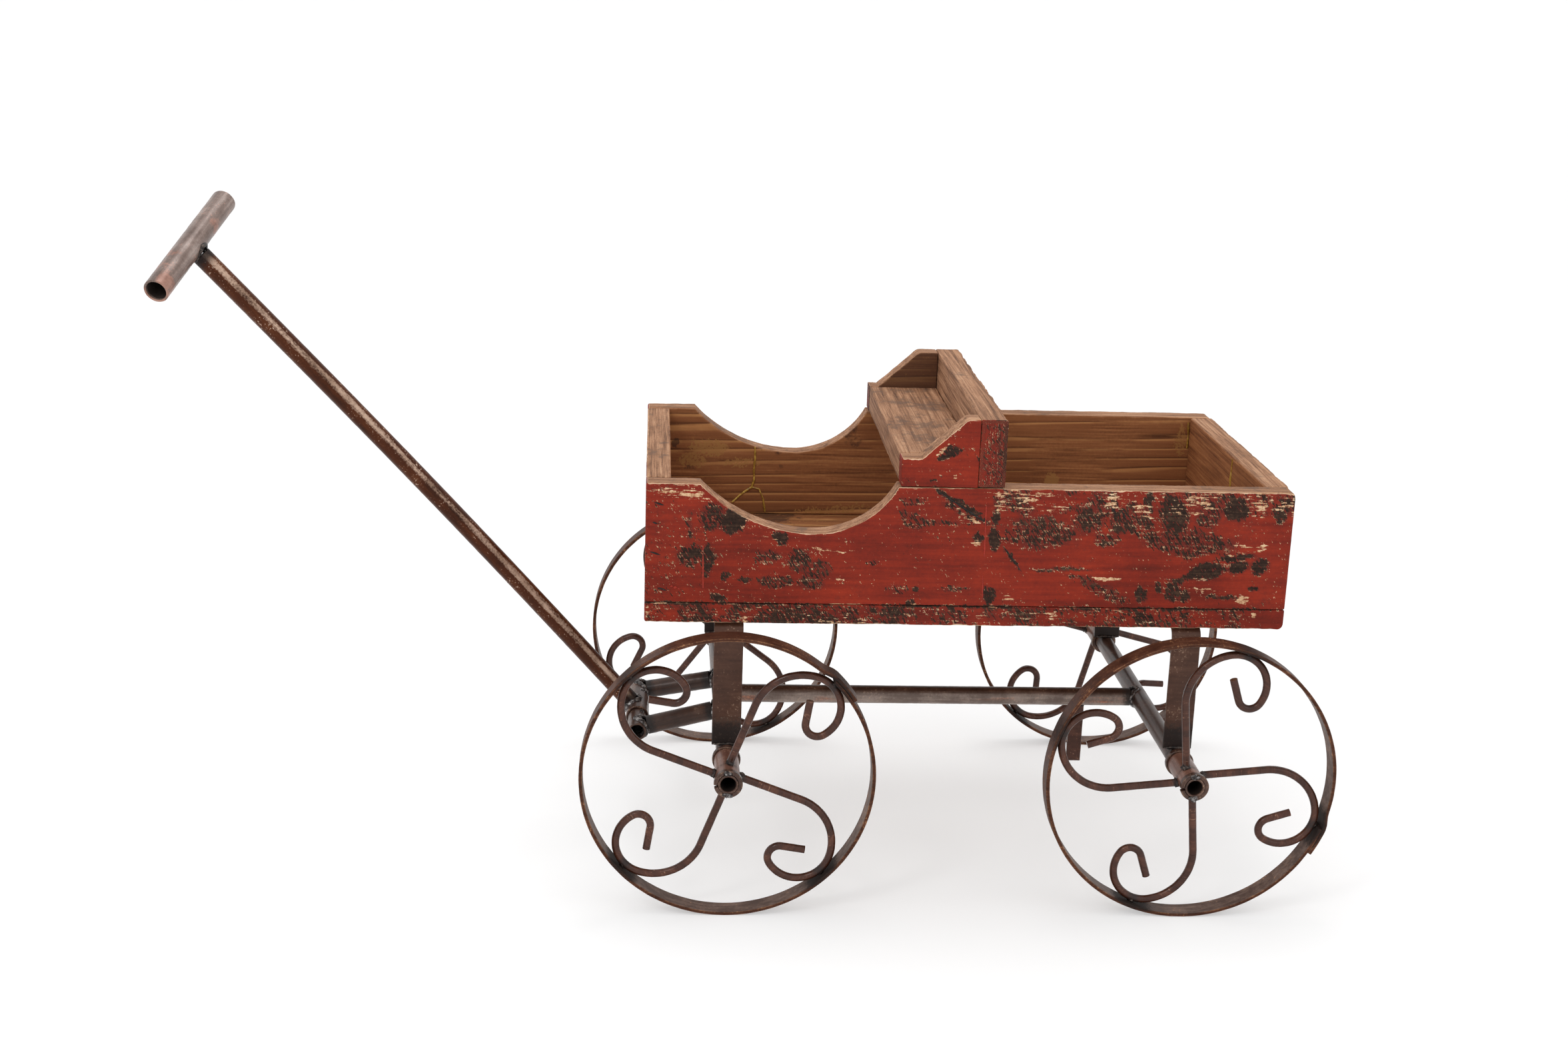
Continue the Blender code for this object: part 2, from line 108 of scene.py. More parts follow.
# ---- node graphs ----------------------------------------------------------------------------
def srgb(red, green, blue):
    """A linear colour, with alpha, from display values of 0 to 255."""
    parts = [c / 255 for c in (red, green, blue)]
    return tuple(c / 12.92 if c <= 0.04045 else ((c + 0.055) / 1.055) ** 2.4
                 for c in parts) + (1.0,)


class Signal:
    """A node's output in a graph; sums and products of signals add math nodes."""

    def __init__(self, graph, socket):
        self.graph, self.socket = graph, socket

    def __add__(self, other):
        return self.graph.math("ADD", self, other)

    def __radd__(self, other):
        return self.graph.math("ADD", other, self)

    def __sub__(self, other):
        return self.graph.math("SUBTRACT", self, other)

    def __rsub__(self, other):
        return self.graph.math("SUBTRACT", other, self)

    def __mul__(self, other):
        return self.graph.math("MULTIPLY", self, other)

    def larger(self, other):
        return self.graph.math("MAXIMUM", self, other)

    def above(self, low, high):
        """0 below low, 1 above high, smooth between; with low above high it runs the other way."""
        return self.graph.signal("ShaderNodeMapRange", {0: self, 1: low, 2: high},
                                 interpolation_type="SMOOTHSTEP")

    def ramp(self, shades):
        """Display colours by where they stand from 0 to 1."""
        made = self.graph.node("ShaderNodeValToRGB", {0: self})
        elements = made.color_ramp.elements
        while len(elements) < len(shades):
            elements.new(0.5)
        for element, (position, color) in zip(elements, shades.items()):
            element.position = position
            element.color = srgb(*color)
        return Signal(self.graph, made.outputs[0])


class Graph:
    """A material under construction.  A colour of three numbers is in display values."""

    def __init__(self, name):
        self.material = bpy.data.materials.new(name)
        self.material.use_nodes = True
        self.tree = self.material.node_tree
        self.shader = self.tree.nodes["Principled BSDF"]
        self.place = self.signal("ShaderNodeTexCoord", output="Object")

    def put(self, value, socket):
        if isinstance(value, Signal):
            self.tree.links.new(value.socket, socket)
        elif socket.type == "RGBA" and len(value) == 3:
            socket.default_value = srgb(*value)
        else:
            socket.default_value = value

    def node(self, kind, inputs=(), **settings):
        made = self.tree.nodes.new(kind)
        for key, value in settings.items():
            setattr(made, key, value)
        for key, value in dict(inputs).items():
            self.put(value, made.inputs[key])
        return made

    def signal(self, kind, inputs=(), output=0, **settings):
        return Signal(self, self.node(kind, inputs, **settings).outputs[output])

    def math(self, operation, a, b):
        return self.signal("ShaderNodeMath", {0: a, 1: b}, operation=operation)

    def mix(self, factor, a, b):
        return self.signal("ShaderNodeMix", {0: factor, 6: a, 7: b}, 2, data_type="RGBA")

    def stretched(self, vector, size, turn=(0.0, 0.0, 0.0)):
        """A texture place in which one unit is this long each way, along turned axes."""
        return self.signal("ShaderNodeMapping", {0: vector, 2: turn, 3: size},
                           vector_type="TEXTURE")

    def noise(self, vector, scale, detail=4.0, roughness=0.6, distortion=0.0):
        return self.signal("ShaderNodeTexNoise", {"Vector": vector, "Scale": scale,
                           "Detail": detail, "Roughness": roughness, "Distortion": distortion})

    def attribute(self, name, output="Fac"):
        return self.signal("ShaderNodeAttribute", output=output, attribute_name=name)

    def bump(self, height, strength, distance):
        made = self.signal("ShaderNodeBump", {"Height": height, "Strength": strength,
                           "Distance": distance})
        self.put(made, self.shader.inputs["Normal"])

    def finish(self, color, roughness, metallic=0.0, **fixed):
        """Fills in the shader, with fixed values on its other sockets."""
        self.put(color, self.shader.inputs["Base Color"])
        self.put(roughness, self.shader.inputs["Roughness"])
        self.put(metallic, self.shader.inputs["Metallic"])
        for key, value in fixed.items():
            self.shader.inputs[key.replace("_", " ")].default_value = value
        return self.material


def wood_material():
    """Red paint over wood, rubbed dark in hatched patches and flaked to a cream ground in slivers;
    stained brown wood inside and paler sawn wood on top.  The meshes say where: paint and raw are
    shares, wear and chip are how much of the paint has gone dark or cream (or, on bare wood, how
    stained or how golden it is; wear well below 0 hides its growth rings), edge is in millimetres,
    grain is a place along the board.  Along the joint above the bottom board, wear also carries a
    painted shade line."""
    g = Graph("old_wood")
    grain = g.attribute("grain", "Vector")
    paint, raw, wear_and_seam_shade, chip, edge = [g.attribute(key)
                                    for key in ("paint", "raw", "wear_and_seam_shade", "chip", "edge")]

    fibre = g.noise(g.stretched(grain, (70 * MM, 1.6 * MM, 1.6 * MM)), 1.0, 5.0, 0.65)
    streak = g.noise(g.stretched(grain, (90 * MM, 5 * MM, 5 * MM)), 1.0)
    hatch = g.noise(g.stretched(grain, (5 * MM, 5 * MM, 1.3 * MM), (0.0, radians(-58), 0.0)),
                    1.0, 2.0, 0.5, 0.2)
    flake = g.noise(g.stretched(grain, (12 * MM, 4 * MM, 1.5 * MM)), 1.0, 5.0, 0.62, 0.2)
    blob = g.noise(grain, 115.0, 5.0, 0.65)
    crumb = g.noise(grain, 420.0, 4.0, 0.7)
    broad = g.noise(grain, 15.0)

    # bare wood: growth rings cut along the board, stained dark or rubbed golden in places
    rings = g.signal("ShaderNodeTexWave", {"Vector": g.stretched(grain, (0.4, 0.02, 0.0105)),
                     "Scale": 0.628, "Distortion": 9.0, "Detail": 3.0, "Detail Scale": 0.5,
                     "Detail Roughness": 0.65}, "Fac", bands_direction="DIAGONAL",
                     wave_profile="SAW")
    tone = fibre * 0.5 + (streak * 0.35 + crumb * 0.15)
    stained = tone.ramp({0.36: (92, 54, 33), 0.47: (130, 82, 50), 0.56: (154, 101, 63),
                         0.68: (186, 132, 86)})
    ring_tone = rings.ramp({0.0: (80, 47, 28), 0.10: (126, 78, 47), 0.68: (140, 88, 54),
                            0.80: (188, 134, 84), 0.89: (192, 138, 86), 0.96: (78, 46, 28)})
    ringed = broad.above(0.34, 0.58) * wear_and_seam_shade.above(-0.5, -0.1)
    stained = g.mix(ringed * 0.70, stained, ring_tone)
    soaked = (wear_and_seam_shade + (blob - 0.5) * 1.5).above(0.34, 0.62)
    stained = g.mix(soaked * 0.72, stained, (62, 42, 33))
    golden = (chip + (crumb - 0.5) * 2.2).above(0.34, 0.5)
    stained = g.mix(golden * 0.75, stained, (158, 114, 66))
    pale_tone = streak * 0.35 + (fibre * 0.45 + crumb * 0.20)
    pale = pale_tone.ramp({0.39: (86, 58, 42), 0.475: (138, 99, 73), 0.55: (168, 126, 96),
                           0.65: (196, 157, 124)})
    pale = g.mix(broad.above(0.50, 0.66) * 0.45, pale, (118, 82, 58))
    pale = g.mix((broad + blob * 0.8).above(0.98, 1.10) * 0.55, pale, (92, 74, 64))
    pale = g.mix(crumb.above(0.575, 0.66) * 0.6, pale, (80, 58, 46))
    bare = g.mix(raw, stained, pale)

    # paint, with a purple-brown haze round the rubbed places
    red_tone = streak * 0.40 + (broad * 0.40 + crumb * 0.20)
    red = red_tone.ramp({0.36: (88, 25, 15), 0.47: (115, 32, 18), 0.56: (131, 38, 20),
                         0.68: (152, 47, 24)})
    haze = (wear_and_seam_shade + ((blob - 0.5) * 1.3 + (broad - 0.5) * 1.2)).above(0.10, 0.62)
    red = g.mix(haze * 0.62, red, (84, 32, 26))

    # where it has gone: slanting dry strokes, slivers along the grain, and crumbs at the arrises
    strokes = hatch * 0.58 + (blob * 0.17 + crumb * 0.25)
    patch = wear_and_seam_shade + (strokes - 0.5) * 3.7
    loss = patch.above(0.50, 0.56)
    border = patch.above(0.36, 0.44) * (1.0 - loss)
    slivers = flake * 0.72 + crumb * 0.28
    chips = (chip + (slivers - 0.5) * 3.4).above(0.54, 0.59)
    cream_place = chips.larger(border * slivers.above(0.53, 0.57))
    bitten = (flake - 0.5) * 8.0 + (broad - 0.5) * 7.0
    cream_place = cream_place.larger((bitten - edge).above(1.0, 1.3))

    dark = (fibre * 0.5 + crumb * 0.5).ramp({0.38: (30, 18, 13), 0.52: (50, 34, 26),
                                             0.66: (84, 60, 45)})
    cream = (fibre * 0.4 + crumb * 0.6).ramp({0.38: (128, 78, 54), 0.50: (190, 148, 112),
                                              0.64: (224, 196, 160)})
    coated = g.mix(cream_place, g.mix(loss, red, dark), cream)

    # the ragged line between paint and bare wood, with pale fibres along it
    shore = paint + (slivers - 0.5) * 1.2
    ragged = shore.above(0.44, 0.50)
    brink = shore.above(0.36, 0.41) * shore.above(0.74, 0.64)
    color = g.mix(ragged, bare, coated)
    color = g.mix(brink * broad.above(0.40, 0.52), color, (206, 172, 142))

    skin = ragged * (1.0 - loss.larger(cream_place))
    height = skin * 0.5 + (fibre * 0.45 + crumb * 0.25)
    g.bump(height + streak * 0.3, 0.5, 0.45 * MM)
    roughness = skin * -0.18 + (0.70 + crumb * 0.14)
    return g.finish(color, roughness, Specular_IOR_Level=0.16)


def steel_material(name, dark, mid, light, worn, worn_amount, gloss, metallic=0.10,
                   grit=0.25, shine=0.30):
    """Lacquered steel: a mottled brown coat, rubbed bright along its arrises, rusty in places and
    sooty at welds, with a painted sheen, a paler grey coat, where the meshes mark it pale.  The
    meshes say where: edge is in millimetres, and soot, rust and pale run from 0 to 1."""
    g = Graph(name)
    edge, soot, lit, rust = [g.attribute(key) for key in ("edge", "soot", "pale", "rust")]
    along = g.attribute("grain", "Vector")
    streak = g.noise(g.stretched(along, (55 * MM, 4.3 * MM, 4.3 * MM)), 1.0, 5.0)
    cloud = g.noise(along, 45.0, 5.0)
    speck = g.noise(along, 520.0, 4.0, 0.65)
    tone = streak * 0.4 + (cloud * 0.45 + speck * 0.15)
    coat = tone.ramp({0.36: dark, 0.52: mid, 0.68: light})
    rubbed = (edge - (speck * 1.3 + streak * 1.4)).above(-1.0, -1.7) * worn_amount
    spots = (speck + cloud * 0.4).above(0.83, 0.90) * worn_amount
    worn_tone = g.mix(cloud.above(0.4, 0.6), worn, tuple(c + 32 for c in worn))
    # painted sheen: where the meshes mark pale, the coat turns a paler grey that stands in for
    # reflected studio light
    painted_sheen_tone = g.mix(tone.above(0.4, 0.62), (100, 84, 76), (150, 134, 124))
    color = g.mix(rubbed.larger(spots), g.mix(lit, coat, painted_sheen_tone), worn_tone)
    rusted = (rust + (streak - 0.5) * 1.6).above(0.35, 0.8)
    rust_tone = g.mix(speck.above(0.45, 0.6), (120, 62, 34), (176, 96, 50))
    color = g.mix(rusted * 0.7, color, rust_tone)
    sooty = (soot + (speck - 0.5) * 0.8).above(0.3, 0.75)
    color = g.mix(sooty * 0.88, color, (30, 26, 25))
    g.bump(speck * 0.5 + streak * 0.5, grit, 0.3 * MM)
    return g.finish(color, gloss + ((cloud - 0.5) * 0.35 + sooty * 0.22), metallic,
                    Specular_IOR_Level=shine, Coat_Weight=shine / 3, Coat_Roughness=0.2)


def weld_material():
    """Bright slag-grey beads with burnt hollows."""
    g = Graph("weld_metal")
    lump = g.noise(g.place, 330.0)
    fine = g.noise(g.place, 1200.0, 3.0)
    color = (lump * 0.8 + fine * 0.2).ramp({0.40: (30, 27, 27), 0.50: (72, 67, 66),
                                            0.60: (146, 142, 140), 0.72: (205, 203, 202)})
    g.bump(lump + fine * 0.4, 0.6, 0.6 * MM)
    return g.finish(color, 0.28 + fine * 0.25, 0.75)


def lumpy_material(name, noise_settings, shades, roughness, swing=0.0, metallic=0.0, bump=None,
                   **fixed):
    """Shades that follow one noise, as do the roughness, by its swing, and the bump, which is
    (strength, height)."""
    g = Graph(name)
    lump = g.noise(g.place, *noise_settings)
    if bump:
        g.bump(lump, *bump)
    return g.finish(lump.ramp(shades), roughness + lump * swing if swing else roughness, metallic,
                    **fixed)


# ---- mesh building --------------------------------------------------------------------------
def make_piece(name, body, material, verts, faces, attributes, smooth_angle=38.0,
               replaces=()):
    """A mesh object with its attributes, riding on a body."""
    mesh = bpy.data.meshes.new(name)
    mesh.from_pydata([tuple(v) for v in verts], [], [tuple(f) for f in faces])
    mesh.update()
    for key, values in attributes.items():
        values = np.asarray(values, np.float32)
        kind = "FLOAT_VECTOR" if values.ndim == 2 else "FLOAT"
        layer = mesh.attributes.new(key, kind, "POINT")
        layer.data.foreach_set("vector" if values.ndim == 2 else "value", values.ravel())
    mesh.shade_smooth()
    mesh.set_sharp_from_angle(angle=radians(smooth_angle))
    mesh.materials.append(material)
    obj = bpy.data.objects.new(name, mesh)
    bpy.context.scene.collection.objects.link(obj)
    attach(obj, body)
    if replaces:
        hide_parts(*replaces)
    return obj


def loop_faces(rows, columns, closed=False):
    """Quads of a grid of vertices, row by row: each row is a ring, and the rows may be one too."""
    quads = []
    for i in range(rows if closed else rows - 1):
        for j in range(columns):
            i2, j2 = (i + 1) % rows, (j + 1) % columns
            quads.append((i * columns + j, i * columns + j2, i2 * columns + j2, i2 * columns + j))
    return quads


def end_caps(columns, count):
    """The faces over the first and the last row of a grid of count vertices."""
    return [tuple(reversed(range(columns))), tuple(range(count - columns, count))]


def near(distance, reach):
    """1 at no distance, falling evenly to 0 at the reach."""
    return max(0.0, 1 - distance / reach)


def on_box(behind, y, above):
    """A place from millimetres behind the box's front and above its underside."""
    return Vector((BOX_FRONT - behind * MM, y, BOX_BOTTOM + above * MM))


def box_place(spot):
    """How many millimetres a place is behind the box's front and above its underside."""
    return (BOX_FRONT - spot[0]) / MM, (spot[2] - BOX_BOTTOM) / MM


def outward(verts, faces):
    """The faces, all turned over if the closed mesh they make is inside out."""
    points = np.asarray(verts, float)
    volume = 0.0
    for face in faces:
        a = points[face[0]]
        for k in range(1, len(face) - 1):
            volume += np.dot(a, np.cross(points[face[k]], points[face[k + 1]]))
    return faces if volume > 0 else [tuple(reversed(face)) for face in faces]


def fbm(point, scale, seed, octaves=3):
    """Signed smooth noise, about -1 to 1."""
    shifted = Vector((point[0] * scale + seed * 7.31, point[1] * scale - seed * 3.17,
                      point[2] * scale + seed * 1.93))
    return noise.fractal(shifted, 1.0, 2.0, octaves, noise_basis="PERLIN_ORIGINAL")


# ---- boards ---------------------------------------------------------------------------------
SIDES = ("v1", "w1", "v0", "w0")     # in the order they come round a board's section
CORNER_FROM = (-90, 0, 90, 180)      # the direction each corner's arc starts in, in degrees
CORNER_STEPS = 3                     # facets across a rounded arris
SHARP, SOFT = 0.6 * MM, 1.4 * MM     # the arrises of a tight joint and of a handled edge
CAP_INSET = 2.2 * MM                 # how far in from its outline a board's end takes its own finish


def section_ring(v, w, radii, inset, across, up):
    """Places round a section: (v, w, corner or side index, part of the corner's turn or None,
    distance to the nearest arris)."""
    low, high = (v[0] + inset, w[0] + inset), (v[1] - inset, w[1] - inset)
    centres = [(high[0] - radii[0], low[1] + radii[0]), (high[0] - radii[1], high[1] - radii[1]),
               (low[0] + radii[2], high[1] - radii[2]), (low[0] + radii[3], low[1] + radii[3])]
    ring = []
    for k, radius in enumerate(radii):
        cv, cw = centres[k]
        for step in range(CORNER_STEPS + 1):
            angle = radians(CORNER_FROM[k] + 90 * step / CORNER_STEPS)
            turn = step / CORNER_STEPS
            ring.append((cv + radius * cos(angle), cw + radius * sin(angle), k, turn, 0.0))
        begin = ring[-1][:2]
        following = (k + 1) % 4
        nv, nw = centres[following]
        finish = (nv + radii[following] * cos(angle), nw + radii[following] * sin(angle))
        length = hypot(finish[0] - begin[0], finish[1] - begin[1])
        for t in (across if k % 2 else up):
            ring.append((begin[0] + (finish[0] - begin[0]) * t,
                         begin[1] + (finish[1] - begin[1]) * t, k, None, min(t, 1 - t) * length))
    return ring


def inner_steps(length, spacing):
    """The inner places, as parts of 1, of a length cut into steps."""
    count = max(2, round(length / spacing))
    return [i / count for i in range(1, count)]


def station_list(low, high, spacing, breaks):
    """Places along a board: even steps, the given breaks, and closer ones at its rounded ends."""
    count = max(2, ceil((high - low) / spacing))
    places = [low + (high - low) * i / count for i in range(count + 1)] + list(breaks)
    for depth in (0.35 * MM, 0.9 * MM, 1.8 * MM):
        places += [low + depth, high - depth]
    kept = []
    for place in sorted(places):
        if not kept or place - kept[-1] > 0.2 * MM:
            kept.append(place)
    kept[-1] = high
    return [low] + kept + [high]


def board(name, axis, seed, painted, raw, spacing, arrises=(SOFT,) * 4, top=None, bottom=None,
          breaks=(), rough=1.0, marks=None, streaky_ends=False, end_reach=None):
    """One board, in the box of its node.  u runs along its grain, which is along x or y, v across
    it and w upwards; top(u) and bottom(u) give its upper and lower edges where those aren't level.
    painted and raw name faces out of u0 u1 v0 v1 w0 w1, spacing is millimetres along u, v and w,
    arrises has a radius for each corner of the section, from v1 w0 round by v1 w1, and marks(spot)
    gives the wear and the chips of a place, or chance does."""
    (x0, y0, z0), (x1, y1, z1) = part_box(name)
    u, v, w = ((x0, x1), (y0, y1), (z0, z1)) if axis == "x" else ((y0, y1), (x0, x1), (z0, z1))
    spacing = [step * MM for step in spacing]
    stations = station_list(u[0], u[1], spacing[0], breaks)
    across = inner_steps(v[1] - v[0], spacing[1])
    up = inner_steps(w[1] - w[0], spacing[2])
    reach = end_reach or 1.2 * max(arrises)
    verts, values = [], {key: [] for key in ("paint", "raw", "edge", "grain", "wear_and_seam_shade", "chip")}
    last = len(stations) - 1
    for i, at in enumerate(stations):
        cap = "u0" if i == 0 else "u1" if i == last else None
        from_end = min(at - u[0], u[1] - at)
        radii = [arris * (1 + rough * max(-0.45, 0.9 * fbm((at, 0.37 * k, 0.1), 60, seed)
                                          + 0.5 * fbm((at, 0.21 * k, 0.7), 260, seed)))
                 for k, arris in enumerate(arrises)]
        inset = CAP_INSET if cap else 0.0
        if from_end < reach:
            inset += reach - sqrt(reach ** 2 - (reach - from_end) ** 2)
        high = top(at) if top else w[1]
        low = bottom(at) if bottom else w[0]
        ending = "u0" if at - u[0] < u[1] - at else "u1"
        for pv, pw, k, turn, inside in section_ring(v, (low, high), radii, inset, across, up):
            before, after, share = SIDES[k], SIDES[k], 0.0
            angle = radians(CORNER_FROM[k] + 90)
            if turn is not None:
                before, share = SIDES[k - 1], turn
                angle = radians(CORNER_FROM[k] + 90 * turn)
            if not cap:
                ripple = 0.20 * MM * fbm((at * 0.16, pv, pw), 95, seed, 2)
                ripple += 0.09 * MM * fbm((at * 0.3, pv, pw), 420, seed, 2) - 0.12 * MM
                pv, pw = pv + ripple * cos(angle), pw + ripple * sin(angle)
            spot = (at, pv, pw) if axis == "x" else (pv, at, pw)
            verts.append(spot)
            for key, faces_with in (("paint", painted), ("raw", raw)):
                a, b = float(before in faces_with), float(after in faces_with)
                value = float(cap in faces_with) if cap else a + (b - a) * share
                if from_end < reach and ending in painted:
                    value = float(key == "paint")
                elif key == "paint" and a + b and not {before, after} & set(raw) and not cap:
                    value = 1.0
                values[key].append(value)
            values["edge"].append(3.0 if cap else min(inside, from_end) / MM)
            if streaky_ends and cap:
                values["grain"].append((pw, at, 2.0 * pv))
            else:
                values["grain"].append((at + 1.7 * seed, pv + 0.31 * seed, pw + 0.23 * seed))
            worn, chipped = marks(spot) if marks else (None, None)
            if worn is None:
                worn = 0.04 + 0.75 * fbm(spot, 15, seed + 4)
                chipped = 0.02 + 0.40 * fbm(spot, 24, seed + 9)
            values["wear_and_seam_shade"].append(worn)
            values["chip"].append(chipped)
    columns = len(verts) // len(stations)
    faces = loop_faces(len(stations), columns) + end_caps(columns, len(verts))
    return make_piece(name + "_worn", "wagon", WOOD, verts, outward(verts, faces), values,
                      replaces=(name,))


# Worn places on the left side, in millimetres behind the box's front and above its underside:
# (behind, above, half length, half height, amount, fall towards the rear in degrees).
RUBBED_DARK = (
    (36, 82, 2, 10, 0.44, 0), (54, 90, 9, 10, 0.60, 0), (71, 86, 8, 9, 0.94, 20),
    (37, 58, 7, 9, 0.60, 50), (51, 53, 5, 11, 0.70, 10), (66, 41, 2.5, 4, 0.70, 0),
    (60, 21, 5.5, 3.5, 0.88, 15), (81, 38, 6, 2.2, 0.75, 0), (110, 73, 6, 4.5, 0.85, 30),
    (99, 57, 10, 5, 0.52, 0), (126, 54, 9, 8, 0.58, 0), (143, 47, 9, 8, 0.58, 0),
    (108, 36, 14, 5, 0.50, 0), (135, 35, 9, 6, 0.54, 0), (186, 53, 5, 2.5, 0.66, 0),
    (207, 31, 9, 4, 0.47, 0), (221, 31, 2.4, 3, 0.90, 0), (219, 20, 3, 2.6, 0.85, 0),
    (253, 32, 14, 1.8, 0.50, 0), (216, 106, 9, 3, 0.50, 0), (218, 90, 10, 6, 0.57, 20),
    (240, 88, 20, 2.4, 0.52, 0), (257, 103, 23, 2.4, 0.96, 34), (256, 97, 16, 3, 0.50, 34),
    (272, 77, 4, 4, 0.80, 0), (285, 93, 3, 7, 0.90, 0), (285, 74, 4.4, 9, 0.96, 0),
    (286, 107, 4, 5, 0.60, 0), (284, 27, 4.4, 6, 0.82, 0), (302, 57, 12, 1.1, 0.95, 55),
    (308, 103, 9, 7, 0.56, 0), (322, 81, 26, 12, 0.60, 0), (343, 50, 22, 1.6, 0.64, 0),
    (365, 97, 12, 14, 0.64, 20), (381, 109, 2.5, 8, 0.85, 0), (390, 93, 9, 10, 0.66, 20),
    (379, 76, 9, 5, 0.58, 0), (411, 109, 3, 9, 0.84, -10), (433, 98, 10, 14, 0.92, -14),
    (445, 74, 34, 10, 0.60, 4), (404, 90, 12, 8, 0.58, 0), (461, 94, 9, 6, 0.64, 0),
    (484, 104, 9, 9, 0.95, 0), (524, 110, 5, 4, 0.80, 0), (521, 99, 3.5, 7, 0.92, -20),
    (487, 62, 14, 2.2, 0.90, -8), (490, 54, 6.5, 4, 0.90, 0), (508, 55, 7.2, 6, 0.98, -28),
    (464, 49, 13, 6, 0.90, -12), (443, 42, 8, 3, 0.80, -40), (437, 33, 5, 9, 0.78, -8),
    (447, 28, 4, 5, 0.80, 0), (478, 28, 11, 1.6, 0.74, 6), (505, 35, 3.6, 2.4, 0.92, 0),
    (410, 29, 4.2, 8, 0.86, -10), (424, 35, 3.5, 4, 0.70, 0), (381, 31, 20, 5, 0.60, 24),
    (361, 42, 12, 2, 0.52, 10), (232, 123, 2, 1, 0.90, 0), (245, 147, 7.5, 4.5, 0.92, -22),
    (274, 126, 3, 6, 0.90, -12), (269, 141, 1.8, 1.6, 0.90, 0), (290, 147, 14, 30, 0.40, 0))
FLAKED_CREAM = (
    (26, 110, 20, 4.0, 0.62, 2), (46, 105, 15, 1.0, 0.58, 3), (99, 73, 8, 2.0, 0.44, 8),
    (140, 65, 10, 1.0, 0.60, 8), (162, 62, 14, 0.9, 0.66, 2), (165, 38, 8, 0.9, 0.64, 2),
    (166, 3, 22, 2.0, 0.56, 0), (262, 94, 14, 1.8, 0.52, 30), (250, 90, 14, 1.2, 0.50, 0),
    (270, 72, 4, 2.4, 0.66, 0), (309, 113, 27, 4.4, 0.56, 2), (309, 103, 9, 6, 0.46, 0),
    (287, 104, 4, 7, 0.52, 0), (336, 102, 12, 2.0, 0.56, 0), (298, 25, 5, 3, 0.52, 0),
    (379, 42, 11, 1.7, 0.76, 2), (405, 104, 8, 6, 0.48, 0), (452, 109, 11, 4.6, 0.62, 6),
    (411, 97, 5, 4, 0.56, 0), (505, 105, 4, 10, 0.60, 0), (524, 105, 6, 6, 0.54, 0),
    (500, 98, 9, 4, 0.46, 0), (493, 72, 9, 1.4, 0.66, 0), (508, 71, 4, 3.4, 0.72, -30),
    (492, 66, 16, 1.3, 0.66, -4), (463, 43, 13, 2.2, 0.50, 0), (463, 34, 14, 1.2, 0.60, 0),
    (436, 26, 4, 4, 0.50, 0), (497, 25, 5, 3.4, 0.84, -12), (507, 11, 2.8, 2, 0.88, 0),
    (217, 142, 3, 1.2, 0.80, 0), (240, 150, 7, 1.2, 0.86, -40), (250, 126, 2.2, 2.4, 0.90, 0),
    (275, 131, 3.2, 2.2, 0.74, 0), (274, 161, 1, 3, 0.60, 0))
# On the right board's inner face: soaked dark, and rubbed golden.
SOAKED = ((27, 86, 3, 3, 0.9, 0), (40, 60, 6, 3, 0.5, 0), (112, 84, 26, 7, 0.46, 24),
          (150, 60, 40, 10, 0.24, 0), (190, 96, 10, 16, 0.44, -30), (500, 30, 24, 20, 0.30, 0))
GOLDEN = ((58, 81, 18, 7, 0.62, 6), (42, 69, 12, 7, 0.56, 0), (88, 66, 18, 4, 0.46, 0),
          (384, 52, 5, 9, 0.80, 0), (175, 22, 30, 4, 0.50, -6), (505, 96, 5, 14, 0.5, 0))


def patch_strength(behind, above, patches):
    """The strongest of the patches at a place, fading out beyond their ends."""
    best = 0.0
    for x, z, half_x, half_z, amount, fall in patches:
        dx, dz = behind - x, above - z
        if abs(dx) + abs(dz) < 2.2 * (half_x + half_z):
            c, t = cos(radians(fall)), sin(radians(fall))
            away = ((dx * c - dz * t) / half_x) ** 2 + ((dx * t + dz * c) / half_z) ** 2
            best = max(best, amount * min(1.0, 1.55 - 0.75 * away))
    return best


SEAM_HEIGHT = (FLOOR_TOP - BOX_BOTTOM) / MM     # of the joint under the side boards
FACE_DEPTH = 2.5 * MM     # how deep a board's rounded and rippled face may lie behind its node's


def left_marks(spot):
    """Rubbed and flaked places of the outer left faces, and a painted shade line along the joint
    above the bottom board; None elsewhere, for chance to settle.
    """
    if spot[1] < HALF_WIDTH - FACE_DEPTH:
        return None, None
    behind, above = box_place(spot)
    drift = 2.6 * fbm(spot, 75, 2) + 1.5 * fbm(spot, 260, 3)
    lift = 2.2 * fbm(spot, 85, 6) + 1.3 * fbm(spot, 280, 5)
    worn = patch_strength(behind + drift, above + lift, RUBBED_DARK)
    chipped = patch_strength(behind + drift, above + lift, FLAKED_CREAM)
    if above < 15 and behind < 500:
        strip = 0.46 + 0.50 * fbm(spot, 42, 8) - 0.30 * near(behind, 100)
        worn, chipped = max(worn, strip), max(chipped, 0.10 + 0.5 * fbm(spot, 60, 3))
    elif above > 98 and behind > 282:
        band = 0.30 + 0.50 * fbm(spot, 55, 8)
        worn, chipped = max(worn, band), max(chipped, 0.26 + 0.5 * fbm(spot, 60, 3))
    # painted shade: the joint above the bottom board is darkened as heavy wear, so that it reads as a
    # dark line
    if abs(above - SEAM_HEIGHT) < 0.9:
        worn = max(worn, 0.64 + 0.55 * fbm(spot, 38, 6))
    worn += 0.20 * near(behind, 110)
    return worn - 0.03 + 0.08 * fbm(spot, 30, 5), chipped - 0.06 + 0.12 * fbm(spot, 34, 7)


